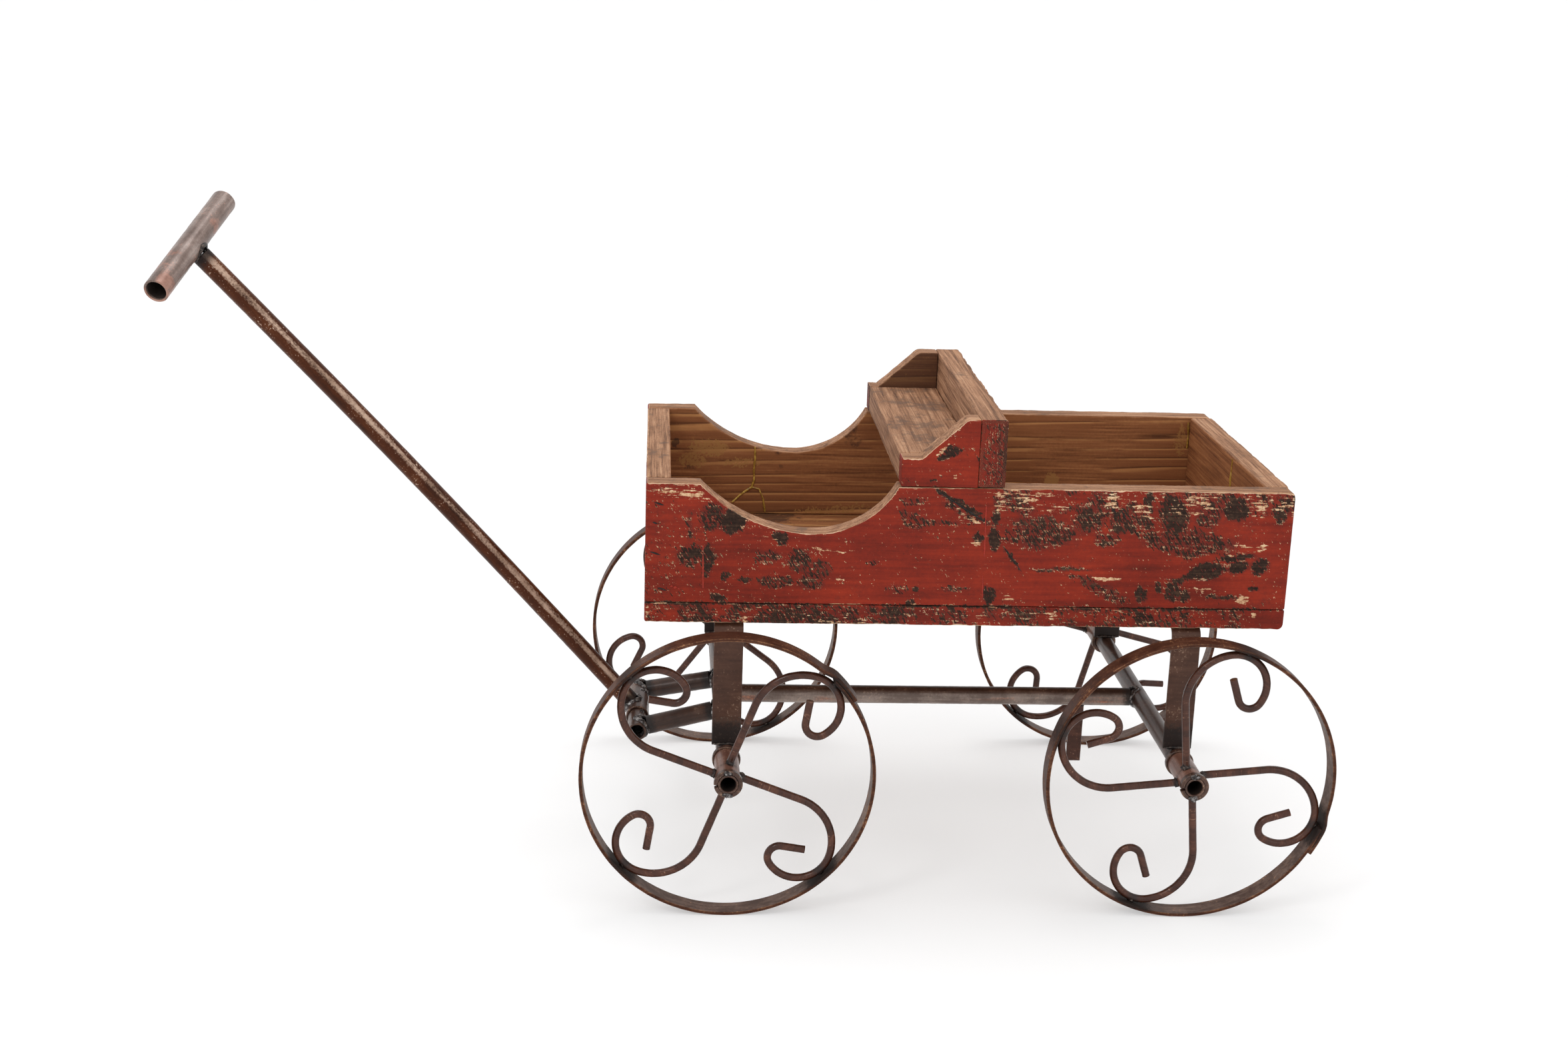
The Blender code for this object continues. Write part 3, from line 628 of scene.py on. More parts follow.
def right_marks(spot):
    """Soaked and golden places of the right board; its outer face is left to chance."""
    if spot[1] < FACE_DEPTH - HALF_WIDTH:
        return None, None
    behind, above = box_place(spot)
    drift = 2.5 * fbm(spot, 70, 4)
    return (patch_strength(behind + drift, above + drift, SOAKED),
            patch_strength(behind - drift, above + drift, GOLDEN))


def arm_marks(spot):
    """The left arm's outer face as on the board below it; both inner faces soaked dark."""
    if abs(spot[1]) < HALF_WIDTH - ARM_FACE_DEPTH:
        return 0.90 + 0.5 * fbm(spot, 40, 12), 0.0
    return left_marks(spot) if spot[1] > 0 else (None, None)


def eased(from_end, radius):
    """How far an edge has dropped, close to an end that is rounded off."""
    return radius - sqrt(radius ** 2 - (radius - from_end) ** 2) if from_end < radius else 0.0


def scooped_top(x):
    """The upper edge of a side board at a place along it."""
    behind = BOX_FRONT - x
    for start, run in ((SCOOP_START, SCOOP_LOW - SCOOP_START), (SCOOP_END, SCOOP_LOW - SCOOP_END)):
        radius = (run ** 2 + SCOOP_DEPTH ** 2) / (2 * SCOOP_DEPTH)
        if min(start, start + run) <= behind <= max(start, start + run):
            return WALL_TOP - SCOOP_DEPTH + radius - sqrt(radius ** 2 - (behind - SCOOP_LOW) ** 2)
    return WALL_TOP - eased(x - BOX_REAR, 4 * MM)


def arm_top(side, low, high, front):
    """A function for the upper edge of a seat arm: level, a slope, a round shoulder, level."""
    flat, slope_end = ARM_FLAT[side], ARM_SLOPE_END[side]
    slope = atan2(high - low, slope_end - flat)
    shoulder = slope_end + ARM_SHOULDER * sin(slope / 2) / cos(slope / 2)

    def top(x):
        behind = front - x
        if behind <= flat:
            return low
        if behind <= shoulder - ARM_SHOULDER * sin(slope):
            return low + (behind - flat) * sin(slope) / cos(slope)
        if behind < shoulder:
            return high - ARM_SHOULDER + sqrt(ARM_SHOULDER ** 2 - (shoulder - behind) ** 2)
        return high
    return top


def build_boards():
    end_steps = [BOX_REAR + t * MM for t in (2.6, 3.6, 5.0)]
    scoop = [BOX_FRONT - SCOOP_START, BOX_FRONT - SCOOP_LOW, BOX_FRONT - SCOOP_END]
    wall = (SHARP, SOFT, SOFT, SHARP)
    board("bottom_board", "x", 2.0, ("u0", "u1", "v0", "v1"), ("w0",), (1.8, 8, 1.8),
          (SOFT, SHARP, SHARP, SOFT), bottom=lambda x: BOX_BOTTOM + eased(x - BOX_REAR, 5 * MM),
          breaks=end_steps, marks=left_marks)
    for side, outer, seed, fine, marks in (("left", "v1", 1.0, 1.7, left_marks),
                                           ("right", "v0", 5.0, 2.4, right_marks)):
        board("side_board_" + side, "x", seed, (outer, "u0", "u1"), ("w1",), (fine, 3, fine), wall,
              scooped_top, breaks=scoop + end_steps, marks=marks)
        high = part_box("seat_arm_" + side)[1]
        board("seat_arm_" + side, "x", seed + 0.4, (outer, "u1"), ("w1",), (1.5, 2, 1.6), wall,
              arm_top(side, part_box("seat_board")[1].z, high.z, high.x),
              breaks=[high.x - ARM_FLAT[side]], rough=1.5, marks=arm_marks, end_reach=0.6 * MM)
    board("front_board", "y", 3.0, ("v1",), ("w1",), (2.4, 3, 2.4), wall)
    board("rear_board", "y", 4.0, ("v0",), ("w1",), (2.4, 3, 2.4), wall, marks=rear_marks)
    board("seat_board", "y", 6.0, (), ("w1", "v1"), (2.4, 3, 3))
    board("seat_back", "y", 7.0, ("u0", "u1"), ("w1", "v1"), (2.4, 2, 2.4),
          (SHARP, SOFT, 1.9 * MM, SHARP), rough=1.5, marks=back_marks, streaky_ends=True,
          end_reach=0.6 * MM)


def rear_marks(spot):
    """No growth rings or stains on the rear board's inner face; chance elsewhere."""
    return (-0.6, 0.1) if spot[0] > REAR_BOARD_INNER - FACE_DEPTH else (None, None)


def back_marks(spot):
    """Streaks of bare purple-brown on the painted ends of the seat's back; chance elsewhere."""
    if abs(spot[1]) > HALF_WIDTH - FACE_DEPTH:
        rearward = (SEAT_BACK_FRONT - spot[0]) / SEAT_BACK_THICKNESS
        return 0.22 + 0.40 * rearward + 0.2 * fbm(spot, 60, 4), -0.10
    return None, None


# ---- steel shapes ---------------------------------------------------------------------------
NO_EDGE = 50.0     # the edge value, in millimetres, of a place that is far from any arris


def steel_piece(name, body, material, verts, faces, values, replaces=(), smooth_angle=38.0):
    """A steel mesh; attributes that it doesn't state are none, and its edges are far away."""
    count = len(verts)
    filled = {"edge": [NO_EDGE] * count, "soot": [0.0] * count, "pale": [0.0] * count,
              "rust": [0.0] * count, "grain": verts}
    filled.update(values)
    return make_piece(name, body, material, verts, outward(verts, faces), filled,
                      smooth_angle, replaces)


def frames_along(points, closed=False, hint=None):
    """(tangent, side, up) at every point of a path, without twist."""
    points = [Vector(p) for p in points]
    count = len(points)
    tangents = []
    for i in range(count):
        ahead = points[(i + 1) % count] if closed or i + 1 < count else points[i]
        behind = points[i - 1] if closed or i else points[i]
        tangents.append((ahead - behind).normalized())
    side = Vector(hint) if hint else tangents[0].orthogonal()
    frames = []
    for tangent in tangents:
        side = (side - tangent * side.dot(tangent)).normalized()
        frames.append((tangent, side, tangent.cross(side)))
    return frames


def round_sweep(points, radius_at, sides, closed=False, seed=0.0, dent=0.0, hint=None):
    """Verts, faces and how far along each vertex is, of a round bar along a path."""
    frames = frames_along(points, closed, hint)
    verts, reached, along = [], [], 0.0
    for i, (point, (_, side, up)) in enumerate(zip(points, frames)):
        if i:
            along += (Vector(point) - Vector(points[i - 1])).length
        for j in range(sides):
            angle = tau * j / sides
            out = side * cos(angle) + up * sin(angle)
            radius = radius_at(along, angle)
            spot = Vector(point) + out * radius
            if dent:
                spot += out * dent * fbm(spot, 300, seed, 2)
            verts.append(spot)
            reached.append(along)
    faces = loop_faces(len(points), sides, closed)
    if not closed:
        faces += end_caps(sides, len(verts))
    return verts, faces, reached


def lathe(origin, axis, profile, sides, seed, dent, start=0.0, sweep=tau):
    """Verts and faces of a closed profile of (radius, distance along) turned about an axis, all
    the way round or with the ends of a split ring."""
    axis = Vector(axis).normalized()
    side = Vector((0, 0, 1))
    side = (side - axis * side.dot(axis)).normalized()
    up = axis.cross(side)
    full = sweep > tau - 0.001
    rows = sides if full else sides + 1
    verts, angles = [], []
    for i in range(rows):
        angle = start + sweep * i / sides
        out = side * cos(angle) + up * sin(angle)
        for radius, along in profile:
            spot = Vector(origin) + axis * along + out * radius
            spot += out * dent * fbm(spot, 180, seed, 2)
            verts.append(spot)
            angles.append(angle)
    faces = loop_faces(rows, len(profile), full)
    if not full:
        faces.append(tuple(range(len(profile))))
        faces.append(tuple(reversed(range(len(verts) - len(profile), len(verts)))))
    return verts, faces, angles


def tube_profile(half, outer, inner, step, chamfer):
    """(radius, along) points round a tube's wall, with (edge, inside) marks for each."""
    count = max(1, ceil(2 * half / step))
    outside = [-half + chamfer + (2 * half - 2 * chamfer) * i / count for i in range(count + 1)]
    points = [(outer, t) for t in outside]
    marks = [(min(half - t, half + t) / MM, 0.0) for t in outside]
    deep = max(0.0, half - 4 * MM)
    for radius, t in ((outer - chamfer, half), (inner + chamfer, half), (inner, half - chamfer),
                      (inner, deep), (inner, -deep), (inner, -half + chamfer),
                      (inner + chamfer, -half), (outer - chamfer, -half)):
        inside = 1.0 if abs(t) <= deep else 0.0
        points.append((radius, t))
        marks.append((9.0 * inside if inside or radius > inner + chamfer else 1.3, inside))
    return points, marks


def open_tube(name, body, material, middle, axis, length, outer, inner, replaces, seed,
              step=3 * MM, dent=0.06 * MM, sides=40, extra=None, **turning):
    """A tube or ring with open ends.  extra(spot, values) may add to a vertex's marks."""
    profile, marks = tube_profile(length / 2, outer, inner, step, min(0.4 * MM, length / 8))
    verts, faces, angles = lathe(middle, axis, profile, sides, seed, dent, **turning)
    rows = len(verts) // len(profile)
    grain = [(t + seed, radius * cos(angle), radius * sin(angle))
             for (radius, t), angle in zip(profile * rows, angles)]
    values = {"edge": [m[0] for m in marks] * rows, "soot": [m[1] for m in marks] * rows,
              "rust": [0.0] * len(verts), "grain": grain}
    if extra:
        for i, spot in enumerate(verts):
            extra(spot, values, i)
    return steel_piece(name, body, material, verts, faces, values, replaces)


def flat_bar(name, body, material, points, width_axis, width, thickness, replaces, seed,
             inner_sheen=0.0, soot_at=None):
    """A flat bar bent along a path, its width along one axis and its ends cut square."""
    wide = Vector(width_axis)
    half_w, half_t = width / 2, thickness / 2
    count = max(2, round(width / (3 * MM)))
    face = [-half_w + BAR_ARRIS + (width - 2 * BAR_ARRIS) * i / count for i in range(count + 1)]
    narrow = (half_t - BAR_ARRIS, 0.0, BAR_ARRIS - half_t)
    section = [(half_t, b) for b in face] + [(a, half_w) for a in narrow]
    section += [(-half_t, b) for b in reversed(face)] + [(-a, -half_w) for a in narrow]
    verts, edge, pale, soot = [], [], [], []
    for point, (tangent, _, _) in zip(points, frames_along(points)):
        normal = wide.cross(tangent).normalized()
        for a, b in section:
            spot = Vector(point) + normal * a + wide * b
            spot += normal * 0.10 * MM * fbm(spot, 160, seed, 2)
            spot += wide * 0.12 * MM * fbm(spot, 130, seed + 3, 2) * abs(b) / half_w
            verts.append(spot)
            edge.append(1.6 if a == 0.0 else (half_w - abs(b)) / MM)
            # the inner face's pale mark is a painted sheen, a paler grey coat
            pale.append(inner_sheen if a < 0 and abs(b) < half_w else 0.0)
            soot.append(soot_at(spot, a) if soot_at else 0.0)
    faces = loop_faces(len(points), len(section)) + end_caps(len(section), len(verts))
    return steel_piece(name, body, material, verts, faces,
                       {"edge": edge, "pale": pale, "soot": soot}, replaces, 30.0)


def bead(name, body, material, points, radius, seed, closed=False):
    """A weld bead along a path: ripples, lumps and tapering ends."""
    length = sum((Vector(b) - Vector(a)).length for a, b in zip(points, points[1:]))

    def radius_at(along, angle):
        size = radius * (0.86 + 0.14 * abs(sin(along / (1.3 * MM) + 0.7 * cos(angle))))
        if not closed:
            size *= min(1.0, 0.35 + 0.65 * sin(pi * min(1.0, max(0.0, along / length))) * 1.6)
        return size

    verts, faces, _ = round_sweep(points, radius_at, 10, closed, seed)
    verts = [v + Vector((fbm(v, 420, seed), fbm(v, 420, seed + 11), fbm(v, 420, seed + 23)))
             * radius * 0.42 for v in verts]
    return steel_piece(name, body, material, verts, faces, {}, smooth_angle=60.0)


def lump(name, body, material, middle, size, seed, stretch=(1, 1, 1)):
    """A spatter of weld metal: a rounded lump, pushed about by noise."""
    rows, columns = 9, 14
    verts = []
    for i in range(rows):
        lift = pi * (i + 0.5) / rows
        for j in range(columns):
            turn = tau * j / columns
            out = Vector((sin(lift) * cos(turn), sin(lift) * sin(turn), cos(lift)))
            spot = Vector(middle) + Vector([o * size * s for o, s in zip(out, stretch)])
            verts.append(spot + out * size * 0.55 * fbm(spot, 330, seed))
    faces = loop_faces(rows, columns) + end_caps(columns, len(verts))
    return steel_piece(name, body, material, verts, faces, {}, smooth_angle=75.0)


def thin_run(name, material, points, radius_at):
    """A thin run of something dried on the box, along a path."""
    verts, faces, _ = round_sweep(points, radius_at, 8)
    make_piece(name, "wagon", material, verts, outward(verts, faces), {}, 60.0)


# ---- wheels ---------------------------------------------------------------------------------
def scroll_path():
    """(outwards, sideways) points of one scroll: a stem, three tightening arcs and a tail."""
    x, y = SLEEVE_RADIUS + GAP - SCROLL_SINK, SCROLL_START_OFFSET
    heading = -radians(SCROLL_START_TURN)
    stem = SCROLL_STEM + SCROLL_SINK
    points = [(x + stem * i / 12 * cos(heading), y + stem * i / 12 * sin(heading))
              for i in range(13)]
    x, y = points[-1]
    for radius, turn in SCROLL_ARCS:
        steps = ceil(radius * radians(turn) / SCROLL_STEP)
        centre = (x + radius * sin(heading), y - radius * cos(heading))
        for i in range(1, steps + 1):
            angle = heading - radians(turn) * i / steps
            points.append((centre[0] - radius * sin(angle), centre[1] + radius * cos(angle)))
        x, y = points[-1]
        heading -= radians(turn)
    points += [(x + SCROLL_TAIL * i / 6 * cos(heading), y + SCROLL_TAIL * i / 6 * sin(heading))
               for i in range(1, 7)]
    return points


SCROLL = scroll_path()
TOUCH = max(SCROLL, key=lambda p: hypot(*p))      # where a scroll meets the rim
TOUCH_ANGLE = atan2(TOUCH[1], TOUCH[0])


def on_wheel(centre, radius, angle, y=0.0):
    """A place on a wheel, by its radius and its angle as seen from the wagon's left."""
    return centre + Vector((-radius * cos(angle), y, radius * sin(angle)))


def build_rim(label, centre, phase):
    low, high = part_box(label + "_rim")
    outer, width = (high.z - low.z) / 2, high.y - low.y
    middle = outer - RIM_THICKNESS / 2
    touches = [phase + TOUCH_ANGLE + tau * k / SCROLLS_PER_WHEEL for k in range(SCROLLS_PER_WHEEL)]
    start = radians(LAP_AT[label])
    steps = 200
    points = []
    for i in range(steps + 1):
        turn = (tau + LAP_LENGTH) * i / steps
        ride_up = min(1.0, max(0.0, (turn - tau + LAP_RAMP) / LAP_RAMP))
        radius = middle + (RIM_THICKNESS + 0.15 * MM) * ride_up * ride_up * (3 - 2 * ride_up)
        points.append(on_wheel(centre, radius, start - turn))

    def soot_at(spot, out):
        angle = atan2(spot.z - centre.z, -(spot.x - centre.x))
        closest = max(cos(angle - touch) for touch in touches)
        return near(1.0 - closest, 0.022) * (0.95 if out < 0 else 0.6)
    # the rim's inner face gets a paler grey coat: a painted sheen
    flat_bar(label + "_rim_bar", label + "_wheel", RIM_STEEL, points, (0, 1, 0), width,
             RIM_THICKNESS, (label + "_rim",), WHEELS.index(label) + 1.0, 0.42, soot_at)
    lap_place = start - LAP_LENGTH / 2
    weld_points = [on_wheel(centre, outer + 0.3 * MM, lap_place - LAP_LENGTH / 2, y)
                   for y in np.linspace(-width / 2 + 2 * MM, width / 2 - 2 * MM, 9)]
    bead(label + "_lap_weld", label + "_wheel", DARK_WELD, weld_points, 1.3 * MM, 3.0)


def build_scrolls(label, centre, phase):
    for k in range(SCROLLS_PER_WHEEL):
        angle = phase + tau * k / SCROLLS_PER_WHEEL
        turned = [(hypot(*p), atan2(p[1], p[0]) + angle) for p in SCROLL]
        points = [on_wheel(centre, radius, a) for radius, a in turned]
        verts, faces, reached = round_sweep(points, lambda along, a: SCROLL_RADIUS, 14,
                                            seed=k + 1.0, dent=0.10 * MM, hint=(0, 1, 0))
        length = reached[-1]
        at_touch = on_wheel(centre, hypot(*TOUCH), TOUCH_ANGLE + angle)
        values = {"soot": [], "edge": [], "grain": []}
        for spot, along in zip(verts, reached):
            near_rim = near((spot - at_touch).length, 13 * MM)
            values["soot"].append(max(near(along, 8 * MM), 0.9 * near_rim))
            values["edge"].append((length - along) / MM)
            values["grain"].append((along + k, spot.y, (spot - centre).length))
        name = "%s_scroll_%d" % (label, k + 1)
        steel_piece(name + "_bar", label + "_wheel", SCROLL_STEEL, verts, faces, values, (name,))
        hub_spot = on_wheel(centre, SLEEVE_RADIUS + 0.6 * MM, angle + radians(11))
        lump(name + "_hub_weld", label + "_wheel", DARK_WELD, hub_spot, 3.4 * MM, 2.0 * k + 1.3,
             (1.0, 1.15, 1.0))
        lump(name + "_rim_weld", label + "_wheel", DARK_WELD,
             on_wheel(centre, hypot(*TOUCH) + 2.2 * MM, TOUCH_ANGLE + angle), 2.6 * MM,
             3.0 * k + 0.7, (1.0, 1.2, 1.0))


END_WELDS = ((100, 2.5), (82, 1.9), (-88, 2.6), (-108, 1.7))    # (degrees round, millimetres)
END_WELD_RADIUS = 9.4 * MM


def build_hub(label, centre, seed):
    low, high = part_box(label + "_hub")
    middle = (low + high) / 2

    def sooty(spot, values, i):
        off = abs(spot.y - centre.y)
        values["soot"][i] = max(values["soot"][i], 0.55 - off / (22 * MM))
    open_tube(label + "_hub_sleeve", label + "_wheel", HUB_STEEL, middle, (0, 1, 0),
              high.y - low.y, SLEEVE_RADIUS, BORE_RADIUS, (label + "_hub",), seed, extra=sooty)
    side = 1 if centre.y > 0 else -1
    for place, gap in (("inner", 0), ("outer", RING_SPLIT)):
        name = "%s_%s_ring" % (label, place)
        low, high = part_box(name)
        ring_middle = (low + high) / 2
        open_tube(name + "_worn", "wagon", GEAR_STEEL, ring_middle, (0, 1, 0), high.y - low.y,
                  (high.z - low.z) / 2, BORE_RADIUS - 0.2 * MM, (name,), seed + 3, 1.5 * MM,
                  0.12 * MM, start=radians(RING_SPLIT_AT + gap / 2) * side, sweep=tau - radians(gap),
                  sides=36)
    face_y = side * (abs(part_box("front_axle")[1].y) - 0.4 * MM)
    for number, (turn, size) in enumerate(END_WELDS):
        spot = Vector((centre.x - END_WELD_RADIUS * cos(radians(turn)), face_y,
                       centre.z + END_WELD_RADIUS * sin(radians(turn))))
        lump("%s_end_weld_%d" % (label, number + 1), "wagon", BRIGHT_WELD, spot, size * MM,
             seed + number * 1.7, (1.15, 0.7, 0.9))


def build_wheels():
    for number, label in enumerate(WHEELS):
        centre = Vector(JOINTS[label + "_wheel_spin"]["pos_m"])
        phase = radians(WHEEL_PHASE[label])
        build_rim(label, centre, phase)
        build_scrolls(label, centre, phase)
        build_hub(label, centre, 10.0 + number)


# ---- running gear ---------------------------------------------------------------------------
def straight(a, b, step=3 * MM):
    """Even points on the line from a to b."""
    a, b = Vector(a), Vector(b)
    count = max(2, ceil((b - a).length / step))
    return [a + (b - a) * i / count for i in range(count + 1)]


def round_bar(name, body, material, points, radius, replaces, seed, dent, marks):
    """A solid round length along a path; marks(spot, along, length) gives soot, rust, edge and
    pale for each vertex."""
    sides = 28
    verts, faces, reached = round_sweep(points, lambda along, angle: radius, sides, seed=seed,
                                        dent=dent, hint=(0, 0, 1))
    rows = [marks(spot, along, reached[-1]) for spot, along in zip(verts, reached)]
    values = dict(zip(("soot", "rust", "edge", "pale"), zip(*rows)))
    values["grain"] = [(along + seed, radius * cos(tau * (i % sides) / sides),
                        radius * sin(tau * (i % sides) / sides))
                       for i, along in enumerate(reached)]
    return steel_piece(name, body, material, verts, faces, values, replaces)


def circle(centre, normal, radius, count):
    """Points of a circle about an axis."""
    normal = Vector(normal).normalized()
    side = normal.orthogonal().normalized()
    up = normal.cross(side)
    return [Vector(centre) + side * radius * cos(tau * i / count) + up * radius * sin(tau * i / count)
            for i in range(count)]


def saddle(main_axis, main_centre, main_radius, direction, start, radius):
    """The line round which a tube meets the side of another: a circle carried on to its surface."""
    main_axis, direction = Vector(main_axis).normalized(), Vector(direction).normalized()
    points = []
    for spot in circle(start, direction, radius, 44):
        away = spot - main_centre
        flat = away - main_axis * away.dot(main_axis)
        heading = direction - main_axis * direction.dot(main_axis)
        a, b = heading.dot(heading), flat.dot(heading)
        root = b * b - a * (flat.dot(flat) - main_radius ** 2)
        shift = (-b + sqrt(max(0.0, root))) / a
        points.append(spot + direction * shift)
    return points


def build_axles():
    def rusty(spot, values, i):
        under = max(0.0, -(spot.z - AXLE_Z) / TUBE_RADIUS)
        values["rust"][i] = 0.75 * under if abs(spot.y) < 150 * MM else 0.0
        values["soot"][i] = max(values["soot"][i], 0.6 * near(abs(abs(spot.y) - LEG_Y), 20 * MM),
                                0.55 * near(abs(spot.y), 22 * MM))
    for number, end in enumerate(("front", "rear")):
        low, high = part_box(end + "_axle")
        open_tube(end + "_axle_tube", "wagon", GEAR_STEEL, (low + high) / 2, (0, 1, 0),
                  high.y - low.y, TUBE_RADIUS, TUBE_RADIUS - TUBE_WALL, (end + "_axle",),
                  20.0 + number, 4 * MM, extra=rusty)


def build_brackets():
    for number, end in enumerate(("front", "rear")):
        low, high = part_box(end + "_bracket")
        middle_x = (low.x + high.x) / 2
        outer_y, top, foot = high.y - BAR_THICKNESS / 2, high.z - BAR_THICKNESS / 2, low.z
        bend = BRACKET_BEND + BAR_THICKNESS / 2

        def corner(y, start):
            """The quarter turn between a leg and the top, about a centre at this y."""
            turns = [radians(start - 90 * i / 7) for i in range(1, 8)]
            return [Vector((middle_x, y + bend * cos(a), top - bend + bend * sin(a))) for a in turns]

        points = straight((middle_x, -outer_y, foot), (middle_x, -outer_y, top - bend), 5 * MM)
        points += corner(-outer_y + bend, 180)
        points += straight(points[-1], (middle_x, outer_y - bend, top), 6 * MM)[1:]
        points += corner(outer_y - bend, 90)
        points += straight(points[-1], (middle_x, outer_y, foot), 5 * MM)[1:]

        def soot_at(spot, out):
            return 1.15 - (spot.z - foot) / (34 * MM)
        flat_bar(end + "_bracket_bar", "wagon", LEG_STEEL, points, (1, 0, 0), high.x - low.x,
                 BAR_THICKNESS, (end + "_bracket",), 30.0 + number, soot_at=soot_at)
        for side in (1, -1):
            for face in (1, -1):
                y = side * outer_y + face * BAR_THICKNESS / 2
                line = straight((low.x + 1 * MM, y, foot + 0.6 * MM),
                                (high.x - 1 * MM, y, foot + 0.6 * MM), 1.2 * MM)
                bead("%s_leg_weld_%d_%d" % (end, side + 1, face + 1), "wagon", DARK_WELD, line,
                     1.5 * MM, 40.0 + number + side + 0.3 * face)


def build_spine():
    low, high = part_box("spine_tube")

    def marks(spot, along, length):
        from_end = min(along, length - along)
        # a band low along the tube: real rust in patches, and a paler grey coat marked pale, which is
        # a painted sheen
        rust_and_sheen_belt = near(abs(spot.z - AXLE_Z + 2 * MM), 8 * MM)
        patchy = 0.55 + 0.9 * fbm((spot.x, 0.0, 0.4), 16, 3)
        return 0.9 * near(from_end, 16 * MM), 0.9 * rust_and_sheen_belt * patchy, NO_EDGE, min(1.0, 2.6 * rust_and_sheen_belt)
    y = (low.y + high.y) / 2
    ends = (Vector((high.x, y, AXLE_Z)), Vector((low.x, y, AXLE_Z)))
    round_bar("spine_tube_worn", "wagon", GEAR_STEEL, straight(*ends), TUBE_RADIUS,
              ("spine_tube",), 50.0, 0.12 * MM, marks)
    for number, (end, other) in enumerate(((ends[0], ends[1]), (ends[1], ends[0]))):
        away = (other - end).normalized()
        centre = end - away * (TUBE_RADIUS + GAP)
        ring = saddle((0, 1, 0), centre, TUBE_RADIUS, away, end, TUBE_RADIUS)
        bead("spine_weld_%d" % (number + 1), "wagon", BRIGHT_WELD if number else DARK_WELD, ring,
             2.2 * MM, 51.0 + number, True)
    low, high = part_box("spine_tab")
    middle = (low + high) / 2
    flat_bar("spine_tab_bar", "wagon", SCROLL_STEEL,
             straight((middle.x, middle.y, high.z), (middle.x, middle.y, low.z), 4 * MM), (1, 0, 0),
             high.x - low.x, high.y - low.y, ("spine_tab",), 52.0)
    line = straight((low.x, middle.y + 1.6 * MM, high.z), (high.x, middle.y + 1.6 * MM, high.z),
                    1.2 * MM)
    bead("spine_tab_weld", "wagon", DARK_WELD, line, 1.3 * MM, 53.0)


def fork_line(side):
    """Both ends of a fork arm's axis, between the two tubes that it joins."""
    sign = 1 if side == "left" else -1
    axle_x = (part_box("front_axle")[0].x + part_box("front_axle")[1].x) / 2
    return (Vector((axle_x, FORK_REAR_Y * sign, AXLE_Z)),
            Vector((PIVOT.x, FORK_FRONT_Y * sign, PIVOT.z)))


def build_fork():
    for number, side in enumerate(("left", "right")):
        rear, front = fork_line(side)
        along = (front - rear).normalized()
        trim = TUBE_RADIUS + GAP + TUBE_RADIUS * 0.1
        first, last = rear + along * trim, front - along * trim

        def marks(spot, reached, length):
            from_end = min(reached, length - reached)
            return max(0.42, near(from_end, 14 * MM)), 0.0, NO_EDGE, 0.0
        round_bar("fork_arm_%s_worn" % side, "wagon", GEAR_STEEL, straight(first, last),
                  TUBE_RADIUS, ("fork_arm_" + side,), 60.0 + number, 0.22 * MM, marks)
        for end, centre, start, away in (("axle", rear, first, along), ("cross", front, last, -along)):
            ring = saddle((0, 1, 0), centre, TUBE_RADIUS, away, start, TUBE_RADIUS)
            bead("fork_%s_%s_weld" % (side, end), "wagon", BRIGHT_WELD, ring, 2.6 * MM,
                 62.0 + 2 * number + (end == "axle"), True)
    low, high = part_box("cross_tube")
    open_tube("cross_tube_worn", "wagon", GEAR_STEEL, (low + high) / 2, (0, 1, 0),
              high.y - low.y, TUBE_RADIUS, TUBE_RADIUS - TUBE_WALL, ("cross_tube",), 66.0,
              dent=0.25 * MM)
    for number, side in enumerate((1, -1)):
        spot = Vector((PIVOT.x - 4 * MM, side * (SLEEVE_HALF + 6 * MM), PIVOT.z + 7 * MM))
        lump("cross_spatter_%d" % (number + 1), "wagon", BRIGHT_WELD, spot, 2.4 * MM, 67.0 + number)


# ---- handle ---------------------------------------------------------------------------------
def handle_directions():
    """Unit vectors along the handle and along its grip."""
    rise, lean = radians(HANDLE_RISE), radians(HANDLE_LEAN)
    roll, tilt = radians(GRIP_ROLL), radians(GRIP_TILT)
    along = Vector((cos(rise) * cos(lean), cos(rise) * sin(lean), sin(rise)))
    level = Vector((-sin(lean), cos(lean), 0.0))
    square = cos(roll) * level + sin(roll) * along.cross(level)
    return along, (cos(tilt) * square - sin(tilt) * along).normalized()


